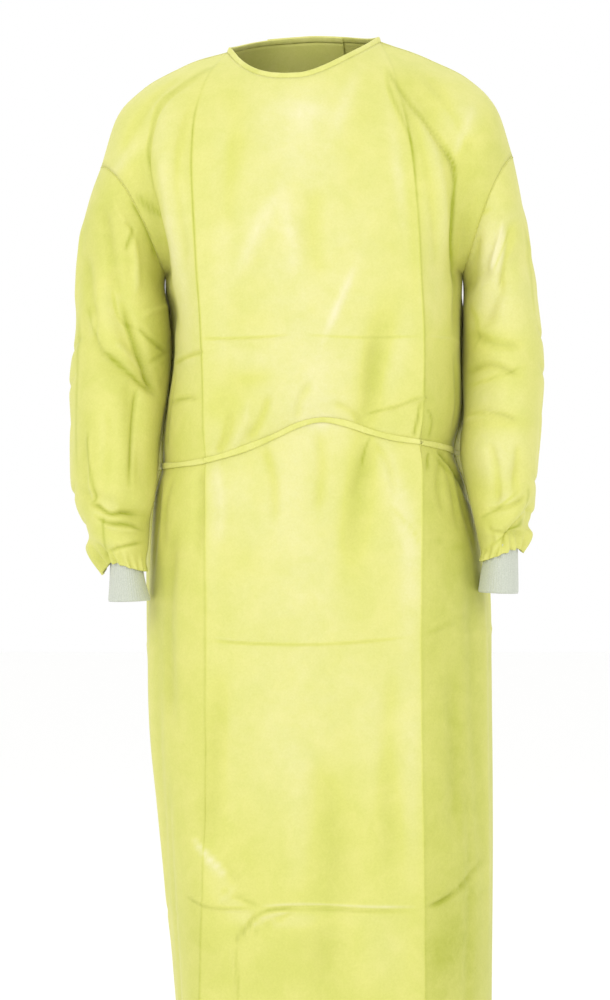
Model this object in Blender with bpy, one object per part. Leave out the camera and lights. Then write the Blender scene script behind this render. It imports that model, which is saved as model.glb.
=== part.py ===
"""Disposable gown as it hangs on its wearer, hollow, with nobody in it.

Metres. +X is the wearer's left, -Y the front and +Z up. The origin is the middle of the neck
opening, at the height where the wearer's shoulders carry the gown. Every panel is a thin wall
between an outer grid of points and the same grid moved inwards.
"""

import math

import bmesh
import bpy
import numpy as np

# Driving sizes
WALL = 0.0016
SEAM_GAP = 0.0004
HEM_Z = -1.300
ARMPIT_Z = -0.270
BELT_Z = -0.480
BELT_WIDTH = 0.0068
BELT_THICK = 0.0022
BINDING_HEIGHT = 0.007
BINDING_THICK = 0.0026
BINDING_SMOOTHING = 4
LAP_RISE = 0.0036
LAP_EDGE = 0.28
CREASE_AT = 0.56
KNEE_RIGHT = 0.70
KNEE_LEFT = 0.52
BACK_TURN = 0.62
BACK_TURN_DEPTH = 0.93

# A panel's corner is CREASE_AT of the way round; KNEE_RIGHT and KNEE_LEFT are how deep the cloth still
# is as it turns to the side seam. Behind, the turn lies at BACK_TURN of the reach and at
# BACK_TURN_DEPTH of the depth.

# Horizontal sections of the body below the armpits: how far it reaches to the wearer's right and
# left, where the side seams lie, how deep it is in front, at the pressed creases and behind, and how
# far the cloth behind each side seam billows out past it.
SECTION_COLUMNS = (
    "z", "right", "left", "side_y", "front", "crease_right", "crease_left", "crease_depth", "back",
    "bulge_right", "bulge_left",
)
SECTIONS = (
    (HEM_Z, 0.145, 0.222, 0.016, 0.150, 0.122, 0.137, 0.130, 0.150, 0.000, 0.000),
    (-1.100, 0.158, 0.224, 0.016, 0.149, 0.122, 0.138, 0.130, 0.148, 0.000, 0.000),
    (-0.950, 0.174, 0.225, 0.015, 0.147, 0.119, 0.137, 0.129, 0.146, 0.000, 0.000),
    (-0.800, 0.189, 0.224, 0.015, 0.144, 0.117, 0.134, 0.127, 0.143, 0.000, 0.000),
    (-0.700, 0.190, 0.222, 0.014, 0.141, 0.116, 0.133, 0.125, 0.139, 0.012, 0.012),
    (-0.600, 0.187, 0.212, 0.012, 0.136, 0.117, 0.134, 0.121, 0.130, 0.036, 0.036),
    (-0.530, 0.181, 0.1935, 0.010, 0.130, 0.118, 0.135, 0.116, 0.119, 0.046, 0.040),
    (BELT_Z, 0.174, 0.182, 0.008, 0.127, 0.119, 0.135, 0.112, 0.111, 0.040, 0.034),
    (-0.430, 0.166, 0.1865, 0.007, 0.131, 0.120, 0.136, 0.115, 0.115, 0.044, 0.034),
    (-0.350, 0.157, 0.185, 0.006, 0.137, 0.122, 0.137, 0.121, 0.126, 0.040, 0.030),
    (-0.308, 0.1612, 0.1862, 0.0055, 0.1372, 0.1245, 0.135, 0.121, 0.129, 0.030, 0.022),
    (ARMPIT_Z, 0.169, 0.188, 0.005, 0.137, 0.127, 0.133, 0.121, 0.130, 0.008, 0.004),
)

# The height of the belt round the body, by how far round the panel it is: -1 and 1 at the side
# seams, 0 in the middle.
BELT_FRONT = (
    (-1.00, -0.500),
    (-0.56, -0.494),
    (-0.32, -0.478),
    (-0.19, -0.466),
    (-0.07, -0.4535),
    (0.035, -0.448),
    (0.16, -0.4517),
    (0.29, -0.4613),
    (0.39, -0.467),
    (0.56, -0.473),
    (1.00, -0.483),
)
BELT_BACK = ((-1.00, -0.500), (-0.5, -0.488), (0.0, -0.480), (0.5, -0.480), (1.00, -0.483))
BELT_PULL = 0.005
BELT_ROW = 0.005
LAP_CLIMB = 0.16
NECK_TAB_REACH = 0.13
NECK_TAB_ROWS = 3

# The knot and the two hanging ends of the belt, behind. Columns: the end's place at the knot and
# at its tip, counted in grid columns from the middle, and the height it hangs down to.
KNOT_HALF_SIZE = (0.011, 0.006, 0.009)
KNOT_SEGMENTS = (12, 8)
BELT_ENDS = {"right": (-0.30, -0.95, -0.730), "left": (0.30, 0.80, -0.700)}
END_THICK = 0.0016
BELT_PULL_REACH = 0.022
BELT_WARP_REACH = 0.13

# Above the armpits each panel is strung between these lines. Columns: how far up the line, x, y, z.
NECK_POINT = {"right": (-0.095, 0.004, -0.002), "left": (0.090, 0.004, 0.010)}
SHOULDER_TIP = {"right": (-0.246, 0.005, -0.142), "left": (0.248, 0.005, -0.130)}
SHOULDER_LINE = {
    "right": (
        (0.35, -0.150, 0.006, -0.0205),
        (0.60, -0.195, 0.006, -0.046),
        (0.80, -0.224, 0.005, -0.078),
    ),
    "left": (
        (0.35, 0.150, 0.006, -0.0115),
        (0.60, 0.197, 0.006, -0.036),
        (0.80, 0.227, 0.005, -0.068),
    ),
}
CREASE_LINE = {
    ("front", "right"): (
        (0.25, -0.131, -0.117, -0.200),
        (0.50, -0.133, -0.105, -0.135),
        (0.70, -0.128, -0.082, -0.080),
        (0.85, -0.115, -0.050, -0.038),
    ),
    ("front", "left"): (
        (0.25, 0.129, -0.117, -0.200),
        (0.50, 0.122, -0.106, -0.130),
        (0.70, 0.113, -0.084, -0.072),
        (0.85, 0.102, -0.052, -0.030),
    ),
    ("back", "right"): (
        (0.30, -0.112, 0.117, -0.185),
        (0.55, -0.114, 0.104, -0.112),
        (0.75, -0.109, 0.080, -0.060),
        (0.90, -0.101, 0.045, -0.021),
    ),
    ("back", "left"): (
        (0.30, 0.118, 0.117, -0.180),
        (0.55, 0.115, 0.104, -0.105),
        (0.75, 0.107, 0.080, -0.050),
        (0.90, 0.098, 0.045, -0.010),
    ),
}
CENTRE_LINE = {
    "front": (
        (0.25, 0.002, -0.133, -0.218),
        (0.50, 0.000, -0.125, -0.165),
        (0.75, -0.004, -0.109, -0.108),
        (1.00, -0.008, -0.086, -0.046),
    ),
    "back": (
        (0.30, 0.000, 0.131, -0.190),
        (0.60, 0.000, 0.118, -0.100),
        (0.85, 0.000, 0.093, -0.020),
        (1.00, 0.000, 0.074, 0.022),
    ),
}
NECK_ROUNDNESS = {"right": 2.8, "left": 1.7}
NECK_PLAN_ROUNDNESS = 0.78
NECK_PLAN_POWER = 2.4
ARMHOLE_DEPTH = 0.080
ARMHOLE_BOW = 0.024
SHOULDER_SWELL = 0.012

# Sleeve sections: the outer and inner edge seen from the front, the middle's y, half the depth,
# and the pinched ear of cloth at the cuff, how far it stands out and hangs down.
SLEEVE_COLUMNS = ("outer_x", "outer_z", "inner_x", "inner_z", "y", "depth", "ear", "ear_drop")
SLEEVES = {
    "right": (
        (-0.246, -0.142, -0.169, -0.270, 0.005, 0.080, 0, 0),
        (-0.262, -0.185, -0.1700, -0.292, 0.004, 0.080, 0, 0),
        (-0.271, -0.228, -0.1645, -0.318, 0.002, 0.079, 0, 0),
        (-0.276, -0.276, -0.1608, -0.350, 0.000, 0.077, 0, 0),
        (-0.2755, -0.336, -0.1643, -0.392, -0.006, 0.075, 0, 0),
        (-0.281, -0.396, -0.1708, -0.436, -0.016, 0.073, 0, 0),
        (-0.279, -0.456, -0.1777, -0.482, -0.030, 0.069, 0, 0),
        (-0.278, -0.512, -0.1830, -0.528, -0.044, 0.064, 0, 0),
        (-0.271, -0.548, -0.1880, -0.564, -0.054, 0.058, 0, 0),
        (-0.257, -0.580, -0.1895, -0.594, -0.060, 0.049, 0, 0),
        (-0.242, -0.598, -0.1900, -0.611, -0.063, 0.040, 0.012, 0.001),
        (-0.2330, -0.611, -0.1890, -0.624, -0.064, 0.034, 0.022, 0.011),
    ),
    "left": (
        (0.248, -0.130, 0.188, -0.270, 0.005, 0.080, 0, 0),
        (0.260, -0.185, 0.1905, -0.292, 0.004, 0.080, 0, 0),
        (0.267, -0.230, 0.1895, -0.318, 0.002, 0.079, 0, 0),
        (0.275, -0.282, 0.1880, -0.350, 0.000, 0.077, 0, 0),
        (0.282, -0.340, 0.1888, -0.392, -0.006, 0.075, 0, 0),
        (0.283, -0.396, 0.1893, -0.436, -0.016, 0.073, 0, 0),
        (0.278, -0.456, 0.1857, -0.482, -0.030, 0.069, 0, 0),
        (0.272, -0.516, 0.1955, -0.530, -0.044, 0.062, 0, 0),
        (0.270, -0.550, 0.2035, -0.568, -0.054, 0.055, 0, 0),
        (0.263, -0.568, 0.2070, -0.590, -0.060, 0.047, 0, 0),
        (0.256, -0.580, 0.2080, -0.602, -0.063, 0.039, 0.008, 0.000),
        (0.2525, -0.594, 0.2060, -0.612, -0.064, 0.034, 0.015, 0.003),
    ),
}
EAR_NARROWNESS = 10

# Knitted cuffs, the upper ring first. Columns: how far each ring's middle lies to the wearer's left of
# the middle of the sleeve's end and below it, how far the ring still slants like that end, its half
# width and its half depth.
CUFF_RINGS = {
    "right": (
        (-0.0006, -0.012, 1.00, 0.0196, 0.0316),
        (0.0002, 0.003, 1.00, 0.0206, 0.0319),
        (0.0016, 0.022, 0.45, 0.0222, 0.0328),
        (0.0032, 0.041, -0.10, 0.0252, 0.0345),
    ),
    "left": (
        (0.0012, -0.012, 1.00, 0.0210, 0.0316),
        (-0.0003, 0.003, 1.00, 0.0222, 0.0319),
        (-0.0016, 0.024, 0.50, 0.0228, 0.0326),
        (-0.0026, 0.046, -0.10, 0.0236, 0.0335),
    ),
}
CUFF_WALL = 0.002

# Folds that show from a step away. Columns: the line's ends x0, z0, x1, z1 seen from the front, how
# far its middle bends sideways, half its width and its depth. FOLD_END is the share of the line
# over which a fold fades in before its ends and out past them.
FOLD_END = 0.15
FRONT_FOLDS = (
    (-0.188, -0.085, -0.180, -0.262, -0.010, 0.020, 0.012),
    (0.128, -0.060, 0.186, -0.262, 0.020, 0.020, 0.013),
    (0.086, -0.330, 0.070, -0.462, 0.004, 0.018, 0.007),
    (0.070, -0.470, 0.052, -0.600, 0.004, 0.018, 0.007),
    (-0.060, -0.250, -0.085, -0.440, 0.010, 0.030, 0.005),
    (0.030, -0.800, 0.036, -1.300, 0.000, 0.035, 0.008),
    (-0.100, -0.800, -0.080, -1.020, 0.000, 0.030, 0.004),
)
BACK_FOLDS = (
    (-0.110, -0.100, -0.140, -0.440, 0.010, 0.024, 0.008),
    (0.115, -0.090, 0.150, -0.440, -0.010, 0.024, 0.008),
    (-0.090, -0.500, -0.105, -1.300, 0.006, 0.030, 0.010),
    (0.110, -0.500, 0.125, -1.300, -0.006, 0.030, 0.010),
)
SLEEVE_FOLDS = {
    "right": (
        (-0.228, -0.290, -0.176, -0.405, -0.006, 0.012, 0.010),
        (-0.262, -0.330, -0.212, -0.392, -0.012, 0.010, 0.006),
        (-0.268, -0.535, -0.186, -0.565, 0.006, 0.010, 0.009),
        (-0.205, -0.400, -0.190, -0.520, 0.000, 0.012, 0.005),
    ),
    "left": (
        (0.256, -0.250, 0.206, -0.330, -0.004, 0.012, 0.008),
        (0.230, -0.210, 0.206, -0.280, 0.000, 0.010, 0.006),
        (0.272, -0.545, 0.216, -0.590, 0.006, 0.010, 0.008),
        (0.256, -0.500, 0.212, -0.540, 0.000, 0.012, 0.006),
    ),
}

# Grid steps
SIDE_STEPS = 6
MIDDLE_STEPS = 14
UPPER_ROWS = 12
EDGE_FADE = 0.10
TOP_FADE = (0.7, 0.35, 0.0)
LOWER_HEIGHTS = (
    HEM_Z, -1.255, -1.210, -1.160, -1.110, -1.060, -1.026, -0.990, -0.940, -0.885, -0.830,
    -0.775, -0.730, -0.700, -0.655, -0.610, -0.570, -0.535, -0.510, -0.492, -0.485, -0.475,
    -0.468, -0.450, -0.425, -0.395, -0.365, -0.345, -0.320, -0.295, ARMPIT_Z,
)
SLEEVE_AROUND = 24
SLEEVE_ALONG = 24
BOW_REACH = 0.3
SLEEVE_TOP_FADE = 0.12
SLEEVE_END_FADE = 0.06
SLEEVE_FRONT_FADE = (0.1, 0.5)
CUFF_AROUND = 24

LIME = (0.72, 0.76, 0.16, 1.0)
KNIT = (0.70, 0.72, 0.67, 1.0)
CLOTH_ROUGHNESS = 0.6
KNIT_ROUGHNESS = 0.9


def spline(table, x):
    """The table's other columns at x, on a smooth curve through its rows."""
    table = np.asarray(table, float)
    x = np.clip(np.asarray(x, float), table[0, 0], table[-1, 0])
    places, values = table[:, 0], table[:, 1:]
    slopes = np.gradient(values, places, axis=0)
    i = np.clip(np.searchsorted(places, x) - 1, 0, len(places) - 2)
    step = (places[i + 1] - places[i])[..., None]
    t = (x - places[i])[..., None] / step
    return (
        (2 * t**3 - 3 * t**2 + 1) * values[i]
        + (t**3 - 2 * t**2 + t) * step * slopes[i]
        + (3 * t**2 - 2 * t**3) * values[i + 1]
        + (t**3 - t**2) * step * slopes[i + 1]
    )


def ease(t):
    """0 to 1 with level ends."""
    t = np.clip(t, 0, 1)
    return t * t * (3 - 2 * t)


def row_height(panel, c, z):
    """Where a level line of cloth lies once the belt has drawn it up or down."""
    belt = BELT_FRONT if panel == "front" else BELT_BACK
    shift = spline(belt, c)[..., 0] - BELT_Z
    return z + shift * np.exp(-(((z - BELT_Z) / BELT_WARP_REACH) ** 2))


def section_points(panel, c, z):
    """Points of the front or back below the armpits; c runs from -1 to 1 between the side seams."""
    s = dict(zip(SECTION_COLUMNS[1:], np.moveaxis(spline(SECTIONS, z), -1, 0)))
    reach = np.where(c < 0, s["right"], s["left"])
    if panel == "front":
        right, left, depth = s["crease_right"], s["crease_left"], s["front"]
        crease = s["crease_depth"]
        facing = -1
    else:
        right, left, depth = BACK_TURN * s["right"], BACK_TURN * s["left"], s["back"]
        crease = BACK_TURN_DEPTH * depth
        facing = 1
    facing_back = (facing + 1) / 2
    q = np.clip(c / CREASE_AT, -1, 1)
    w = np.clip((abs(c) - CREASE_AT) / (1 - CREASE_AT), 0, 1)
    at = np.where(c < 0, right, left)
    slope = 4 * (depth - crease) / (left + right)
    knee = crease - slope * (reach - at)
    if panel == "front":
        knee = np.where(c < 0, KNEE_RIGHT, KNEE_LEFT) * crease
    middle_x = (left - right) / 2 + (left + right) / 2 * q
    middle_y = depth - (depth - crease) * q**2
    bulge = facing_back * np.where(c < 0, s["bulge_right"], s["bulge_left"])
    side_x = np.sign(c) * ((1 - w) ** 2 * at + 2 * w * (1 - w) * (reach + bulge) + w**2 * reach)
    side_y = (1 - w) ** 2 * crease + 2 * w * (1 - w) * knee + w**2 * facing * s["side_y"]
    x = np.where(w > 0, side_x, middle_x)
    y = facing * np.where(w > 0, side_y, middle_y)
    return np.stack([x, y, z + 0 * x], axis=-1)


def armhole(side, panel, v):
    """The panel's armhole edge, from the underarm at v = 0 to the shoulder tip at v = 1."""
    tip = np.array(SHOULDER_TIP[side])
    under = np.array(SLEEVES[side][0])
    under = np.array([under[2], SHOULDER_TIP[side][1], under[3]])
    angle = math.pi * (1 - v)[..., None]
    out = np.array([0, -ARMHOLE_DEPTH if panel == "front" else ARMHOLE_DEPTH, 0])
    up = np.array([0, 0, ARMHOLE_BOW])
    return tip + (under - tip) * (1 - np.cos(angle)) / 2 + out * np.sin(angle) + up * np.sin(angle) ** 2


def line_up(first, rows, last, v):
    """A line from first at v = 0 through the rows to last at v = 1, or to the last row."""
    table = [(0, *first), *rows]
    if last is not None:
        table.append((1, *last))
    return spline(table, v)


def upper_points(panel, c, v):
    """Points above the armpits; v runs from the armpit's height to the shoulder and neckline."""
    start = {
        key: section_points(panel, np.array(at), np.array(ARMPIT_Z))
        for key, at in (("right", -CREASE_AT), ("left", CREASE_AT), ("middle", 0.0))
    }
    lines = {
        side: line_up(start[side], CREASE_LINE[panel, side], NECK_POINT[side], v)
        for side in ("right", "left")
    }
    centre = line_up(start["middle"], CENTRE_LINE[panel], None, v)
    q = np.clip(c / CREASE_AT, -1, 1)[..., None]
    near_neck = ease(v)[..., None]
    power = np.where(q < 0, NECK_ROUNDNESS["right"], NECK_ROUNDNESS["left"])
    drop = 1 - abs(q) ** (2 + (power - 2) * near_neck)
    rounding = 1 - (1 - NECK_PLAN_ROUNDNESS) * near_neck
    plan = np.maximum(1 - abs(q) ** NECK_PLAN_POWER, 0) ** rounding
    plan = drop + (plan - drop) * near_neck
    drop = np.concatenate([drop, plan, drop], axis=-1)
    chord = (lines["left"] + lines["right"]) / 2
    half = (lines["left"] - lines["right"]) / 2
    middle = chord + half * q + (centre - chord) * drop

    w = np.clip((abs(c) - CREASE_AT) / (1 - CREASE_AT), 0, 1)
    points = middle
    facing = -1 if panel == "front" else 1
    for side, sign in (("right", -1), ("left", 1)):
        edge = armhole(side, panel, v)
        top = line_up(NECK_POINT[side], SHOULDER_LINE[side], SHOULDER_TIP[side], w)
        place = sign * (CREASE_AT + w * (1 - CREASE_AT))
        base = section_points(panel, place, np.full_like(w, ARMPIT_Z))
        along = w[..., None]
        straight = np.array(NECK_POINT[side]) * (1 - along) + np.array(SHOULDER_TIP[side]) * along
        top_off = top - straight
        base_end = section_points(panel, np.array(float(sign)), np.array(ARMPIT_Z))
        base_off = base - (start[side] * (1 - along) + base_end * along)
        up = ease(v)[..., None]
        swell = SHOULDER_SWELL * 4 * along * (1 - along) * 4 * up * (1 - up) * np.array([0, facing, 0])
        strip = lines[side] * (1 - along) + edge * along + swell
        strip = strip + base_off * (1 - up) + top_off * up
        points = np.where((sign * c > CREASE_AT)[..., None], strip, points)
    return points


def fold_depth(x, z, folds):
    """How far the folds lower the cloth at a place seen from the front."""
    total = np.zeros_like(x)
    for x0, z0, x1, z1, bend, width, depth in folds:
        run = math.hypot(x1 - x0, z1 - z0)
        t = ((x - x0) * (x1 - x0) + (z - z0) * (z1 - z0)) / run**2
        off = ((z - z0) * (x1 - x0) - (x - x0) * (z1 - z0)) / run - 4 * bend * t * (1 - t)
        fade = ease((t + FOLD_END) / (2 * FOLD_END)) * ease((1 + FOLD_END - t) / (2 * FOLD_END))
        total += depth * fade * np.exp(-((off / width) ** 2))
    return total


def normals_of(grid, closed=False):
    """Unit normals of a grid of points, rows upwards and columns to the wearer's left in front."""
    rows = np.gradient(grid, axis=0)
    columns = np.gradient(grid, axis=1)
    if closed:
        columns = np.roll(grid, -1, axis=1) - np.roll(grid, 1, axis=1)
    normals = np.cross(columns, rows)
    return normals / np.linalg.norm(normals, axis=-1, keepdims=True)


def body_grid(panel, columns):
    """The outer points of the front or back, hem first, with its folds and the belt's pull."""
    rows = []
    for z in LOWER_HEIGHTS:
        height = row_height(panel, columns, np.full_like(columns, z))
        if z == ARMPIT_Z:
            height = np.full_like(columns, z)
        rows.append(section_points(panel, columns, height))
    for v in np.linspace(0, 1, UPPER_ROWS + 1)[1:]:
        rows.append(upper_points(panel, columns, np.full_like(columns, v)))
    grid = np.array(rows)
    normals = normals_of(grid) * (1 if panel == "front" else -1)
    normals[:len(LOWER_HEIGHTS), [0, -1], 1] = 0
    normals /= np.linalg.norm(normals, axis=-1, keepdims=True)
    folds = fold_depth(grid[..., 0], grid[..., 2], FRONT_FOLDS if panel == "front" else BACK_FOLDS)
    levels = np.array([*LOWER_HEIGHTS, *[0] * UPPER_ROWS])[:, None]
    pull = BELT_PULL * np.exp(-(((levels - BELT_Z) / BELT_PULL_REACH) ** 2))
    edge_fade = ease((1 - abs(columns)) / EDGE_FADE)
    top_fade = np.ones(len(rows))
    top_fade[-len(TOP_FADE):] = TOP_FADE
    return grid - normals * (folds * edge_fade * top_fade[:, None] + pull)[..., None]


def across(direction, tangent):
    """The unit part of a direction that lies square to the tangent."""
    tangent = tangent / np.linalg.norm(tangent, axis=-1, keepdims=True)
    direction = direction - (direction * tangent).sum(-1, keepdims=True) * tangent
    return direction / np.linalg.norm(direction, axis=-1, keepdims=True)


def sleeve_grid(side):
    """The outer points of a sleeve, cuff end first, once round from the outer edge by the front."""
    table = np.array(SLEEVES[side], float)
    places = np.linspace(0, 1, len(table))
    t = np.linspace(1, 0, SLEEVE_ALONG + 1)
    s = dict(zip(SLEEVE_COLUMNS, spline(np.column_stack([places, table]), t).T[..., None]))
    phi = np.linspace(0, 2 * math.pi, SLEEVE_AROUND, endpoint=False)
    sign = 1 if side == "left" else -1
    bow = ARMHOLE_BOW * (1 - ease(t / BOW_REACH))[:, None]
    ear = np.maximum(np.cos(phi), 0) ** EAR_NARROWNESS
    x = (s["outer_x"] + s["inner_x"]) / 2 + np.cos(phi) * (s["outer_x"] - s["inner_x"]) / 2
    z = (s["outer_z"] + s["inner_z"]) / 2 + np.cos(phi) * (s["outer_z"] - s["inner_z"]) / 2
    y = s["y"] - s["depth"] * np.sin(phi)
    x = x + sign * s["ear"] * ear
    z = z + bow * np.sin(phi) ** 2 - s["ear_drop"] * ear
    grid = np.stack([x, y, z], axis=-1)
    outward = -sign * normals_of(grid, closed=True)
    folds = fold_depth(grid[..., 0], grid[..., 2], SLEEVE_FOLDS[side])
    in_front = ease((np.sin(phi) + SLEEVE_FRONT_FADE[0]) / SLEEVE_FRONT_FADE[1])
    ends = ease(t / SLEEVE_TOP_FADE) * ease((1 - t) / SLEEVE_END_FADE)
    return grid - outward * (folds * in_front * ends[:, None])[..., None]


def armhole_seam(side, front, back):
    """The seam's points round the sleeve, the way the walls' rims run inwards, and the arm's way."""
    ring = sleeve_grid(side)
    sign = 1 if side == "left" else -1
    seam = ring[-1]
    tangent = np.roll(seam, -1, axis=0) - np.roll(seam, 1, axis=0)
    edge, beside = (-1, -2) if side == "left" else (0, 1)
    base = len(LOWER_HEIGHTS) - 1
    half = SLEEVE_AROUND // 2
    body, inward = [], sign * normals_of(ring, closed=True)[-1]
    for i in range(SLEEVE_AROUND):
        grid = front if i <= half else back
        row = base + abs(half - i)
        body.append(grid[row, beside] - grid[row, edge])
        inward[i] += (-1 if i <= half else 1) * normals_of(grid)[row, edge]
    body[half] = front[base - 1, edge] - front[base, edge]
    arm = across(across(ring[-2] - seam, tangent) - across(np.array(body), tangent), tangent)
    rim = np.cross(tangent, arm)
    rim /= np.linalg.norm(rim, axis=-1, keepdims=True)
    rim *= np.sign((rim * inward).sum(-1, keepdims=True))
    rim[[0, half], 1] = 0
    rim /= np.linalg.norm(rim, axis=-1, keepdims=True)
    return seam, rim, arm


def material(name, colour, roughness):
    """A matt material of one colour."""
    made = bpy.data.materials.new(name)
    made.use_nodes = True
    shader = made.node_tree.nodes["Principled BSDF"]
    shader.inputs["Base Color"].default_value = colour
    shader.inputs["Roughness"].default_value = roughness
    return made


def add_mesh(name, points, faces, finish):
    """A smooth-shaded object from points and faces."""
    mesh = bpy.data.meshes.new(name)
    mesh.from_pydata([tuple(p) for p in points], [], faces)
    mesh.materials.append(finish)
    mesh.shade_smooth()
    made = bpy.data.objects.new(name, mesh)
    bpy.context.scene.collection.objects.link(made)
    return made


def wall(name, outer, inner, finish, closed=False, flip=False):
    """A solid wall between an outer and an inner grid of points, closed round or open."""
    rows, columns = outer.shape[:2]
    points = np.concatenate([outer.reshape(-1, 3), inner.reshape(-1, 3)])
    inside = rows * columns
    faces = []
    for i in range(rows - 1):
        for j in range(columns if closed else columns - 1):
            k = (j + 1) % columns
            a, b = i * columns + j, i * columns + k
            c, d = b + columns, a + columns
            rising = np.linalg.norm(points[a] - points[c]) < np.linalg.norm(points[b] - points[d])
            halves = ((a, b, c), (a, c, d)) if rising else ((a, b, d), (b, c, d))
            for face in halves:
                faces.append(face)
                faces.append(tuple(inside + corner for corner in reversed(face)))
    for j in range(columns if closed else columns - 1):
        k = (j + 1) % columns
        top = (rows - 1) * columns
        faces.append((j, inside + j, inside + k, k))
        faces.append((top + k, inside + top + k, inside + top + j, top + j))
    if not closed:
        for i in range(rows - 1):
            a, b = i * columns, (i + 1) * columns
            faces.append((a, b, inside + b, inside + a))
            a, b = a + columns - 1, b + columns - 1
            faces.append((b, a, inside + a, inside + b))
    if flip:
        faces = [tuple(reversed(face)) for face in faces]
    return add_mesh(name, points, faces, finish)


def bar(name, corners, finish, closed=False):
    """A strip swept through four-cornered sections, its ends capped unless it closes."""
    count = len(corners)
    points = np.asarray(corners).reshape(-1, 3)
    faces = []
    for i in range(count if closed else count - 1):
        k = (i + 1) % count
        for a in range(4):
            b = (a + 1) % 4
            faces.append((4 * i + a, 4 * i + b, 4 * k + b, 4 * k + a))
    if not closed:
        faces.append((3, 2, 1, 0))
        last = 4 * (count - 1)
        faces.append((last, last + 1, last + 2, last + 3))
    return add_mesh(name, points, faces, finish)


def panel_columns(first, last):
    """Column places between first and last, closer where the cloth turns at the sides."""
    side = np.linspace(CREASE_AT, 1, SIDE_STEPS + 1)
    middle = np.linspace(-CREASE_AT, CREASE_AT, MIDDLE_STEPS + 1)
    every = np.concatenate([-side[:0:-1], middle, side[1:]])
    return every[(every > first - 1e-6) & (every < last + 1e-6)]


def lap_rise(columns):
    """How far the upper back panel stands out over the lower one, easing down past its edge."""
    return LAP_RISE * (1 - ease((columns - LAP_EDGE) / (CREASE_AT - LAP_EDGE)))


def panel_grids(panel, whole, seams_at, first, last, raised=False):
    """Outer and inner points of a panel, drawn back from its seams by half their gap."""
    every = panel_columns(-1, 1)
    facing = 1 if panel == "front" else -1
    inward = -facing * normals_of(whole)
    lower = len(LOWER_HEIGHTS)
    inward[:lower, [0, -1], 1] = 0
    seams = abs(every) > CREASE_AT - 1e-6
    inward[-1, seams, 1] = 0
    inward /= np.linalg.norm(inward, axis=-1, keepdims=True)
    if raised:
        whole = whole - inward * lap_rise(every)[:, None]
    away = np.array([0, -facing * SEAM_GAP / 2, 0])
    whole[:lower, 0] += away
    whole[:lower, -1] += away
    whole[-1, seams] += away
    half = SLEEVE_AROUND // 2
    for side, edge in (("right", 0), ("left", -1)):
        rim = seams_at[side][1]
        round_front = rim[half::-1] if panel == "front" else np.roll(rim, -half, axis=0)[:half + 1]
        inward[lower - 1:, edge] = round_front
        for corner in (lower - 1, -1):
            inward[corner, edge, 1] = 0
            inward[corner, edge] /= np.linalg.norm(inward[corner, edge])
    keep = (every > first - 1e-6) & (every < last + 1e-6)
    outer = whole[:, keep]
    return outer, outer + WALL * inward[:, keep], inward[:, keep]


def cuff(side, finish):
    """A knitted cuff that starts inside the sleeve's end and widens a little below it."""
    outer_x, outer_z, inner_x, inner_z, y = SLEEVES[side][-1][:5]
    middle = np.array([(outer_x + inner_x) / 2, y, (outer_z + inner_z) / 2])
    slanted = np.array([outer_x - inner_x, 0, outer_z - inner_z])
    slanted /= np.linalg.norm(slanted)
    level = np.array([np.sign(outer_x), 0, 0])
    phi = np.linspace(0, 2 * math.pi, CUFF_AROUND, endpoint=False)[:, None]
    rings = {"outer": [], "inner": []}
    for aside, below, slant, half_width, half_depth in reversed(CUFF_RINGS[side]):
        wide = level + (slanted - level) * slant
        wide /= np.linalg.norm(wide)
        for ring, less in (("outer", 0), ("inner", CUFF_WALL)):
            spoke = wide * np.cos(phi) * (half_width - less)
            spoke = spoke - np.array([0, 1, 0]) * np.sin(phi) * (half_depth - less)
            rings[ring].append(middle + np.array([aside, 0, -below]) + spoke)
    flip = side == "left"
    wall(f"cuff_{side}", np.array(rings["outer"]), np.array(rings["inner"]), finish, True, flip)


def smoothed(vectors, times):
    """Unit vectors evened out along a line."""
    vectors = np.array(vectors)
    for _ in range(times):
        vectors /= np.linalg.norm(vectors, axis=-1, keepdims=True)
        vectors[1:-1] = (vectors[:-2] + 2 * vectors[1:-1] + vectors[2:]) / 4
    return vectors


def neck_binding(front, front_in, under, under_in, over, over_in, finish):
    """A narrow binding along the neckline, from the lower back edge round to the upper one."""
    columns = panel_columns(-1, 1)
    neck = np.flatnonzero(abs(columns) < CREASE_AT + 1e-6)
    first, last = neck[0], neck[-1]
    over_start = len(columns) - over.shape[1]

    def frames(grid, inward, picked):
        return grid[-1, picked], grid[-1, picked] - grid[-2, picked], -inward[-1, picked]

    under_part = frames(under, under_in, range(under.shape[1] - 1, first - 1, -1))
    front_part = frames(front, front_in, range(first, last + 1))
    over_part = frames(over, over_in, range(last - over_start, -1, -1))
    points, ups, outs = (list(part) for part in under_part)
    for part in (front_part, over_part):
        points[-1] = (points[-1] + part[0][0]) / 2
        ups[-1] = ups[-1] / np.linalg.norm(ups[-1]) + part[1][0] / np.linalg.norm(part[1][0])
        outs[-1] = outs[-1] + part[2][0]
        points += list(part[0][1:])
        ups += list(part[1][1:])
        outs += list(part[2][1:])
    points = np.array(points)
    tangent = np.gradient(points, axis=0)
    up = across(smoothed(ups, BINDING_SMOOTHING), tangent)
    out = np.cross(up, tangent)
    out /= np.linalg.norm(out, axis=-1, keepdims=True)
    out *= np.sign((out * np.array(outs)).sum(-1, keepdims=True))
    proud = (BINDING_THICK - WALL) / 2
    base = points + up * SEAM_GAP
    corners = np.stack([
        base - out * (WALL + proud),
        base + up * BINDING_HEIGHT - out * (WALL + proud),
        base + up * BINDING_HEIGHT + out * proud,
        base + out * proud,
    ], axis=1)
    bar("neck_binding", corners, finish)


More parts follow.
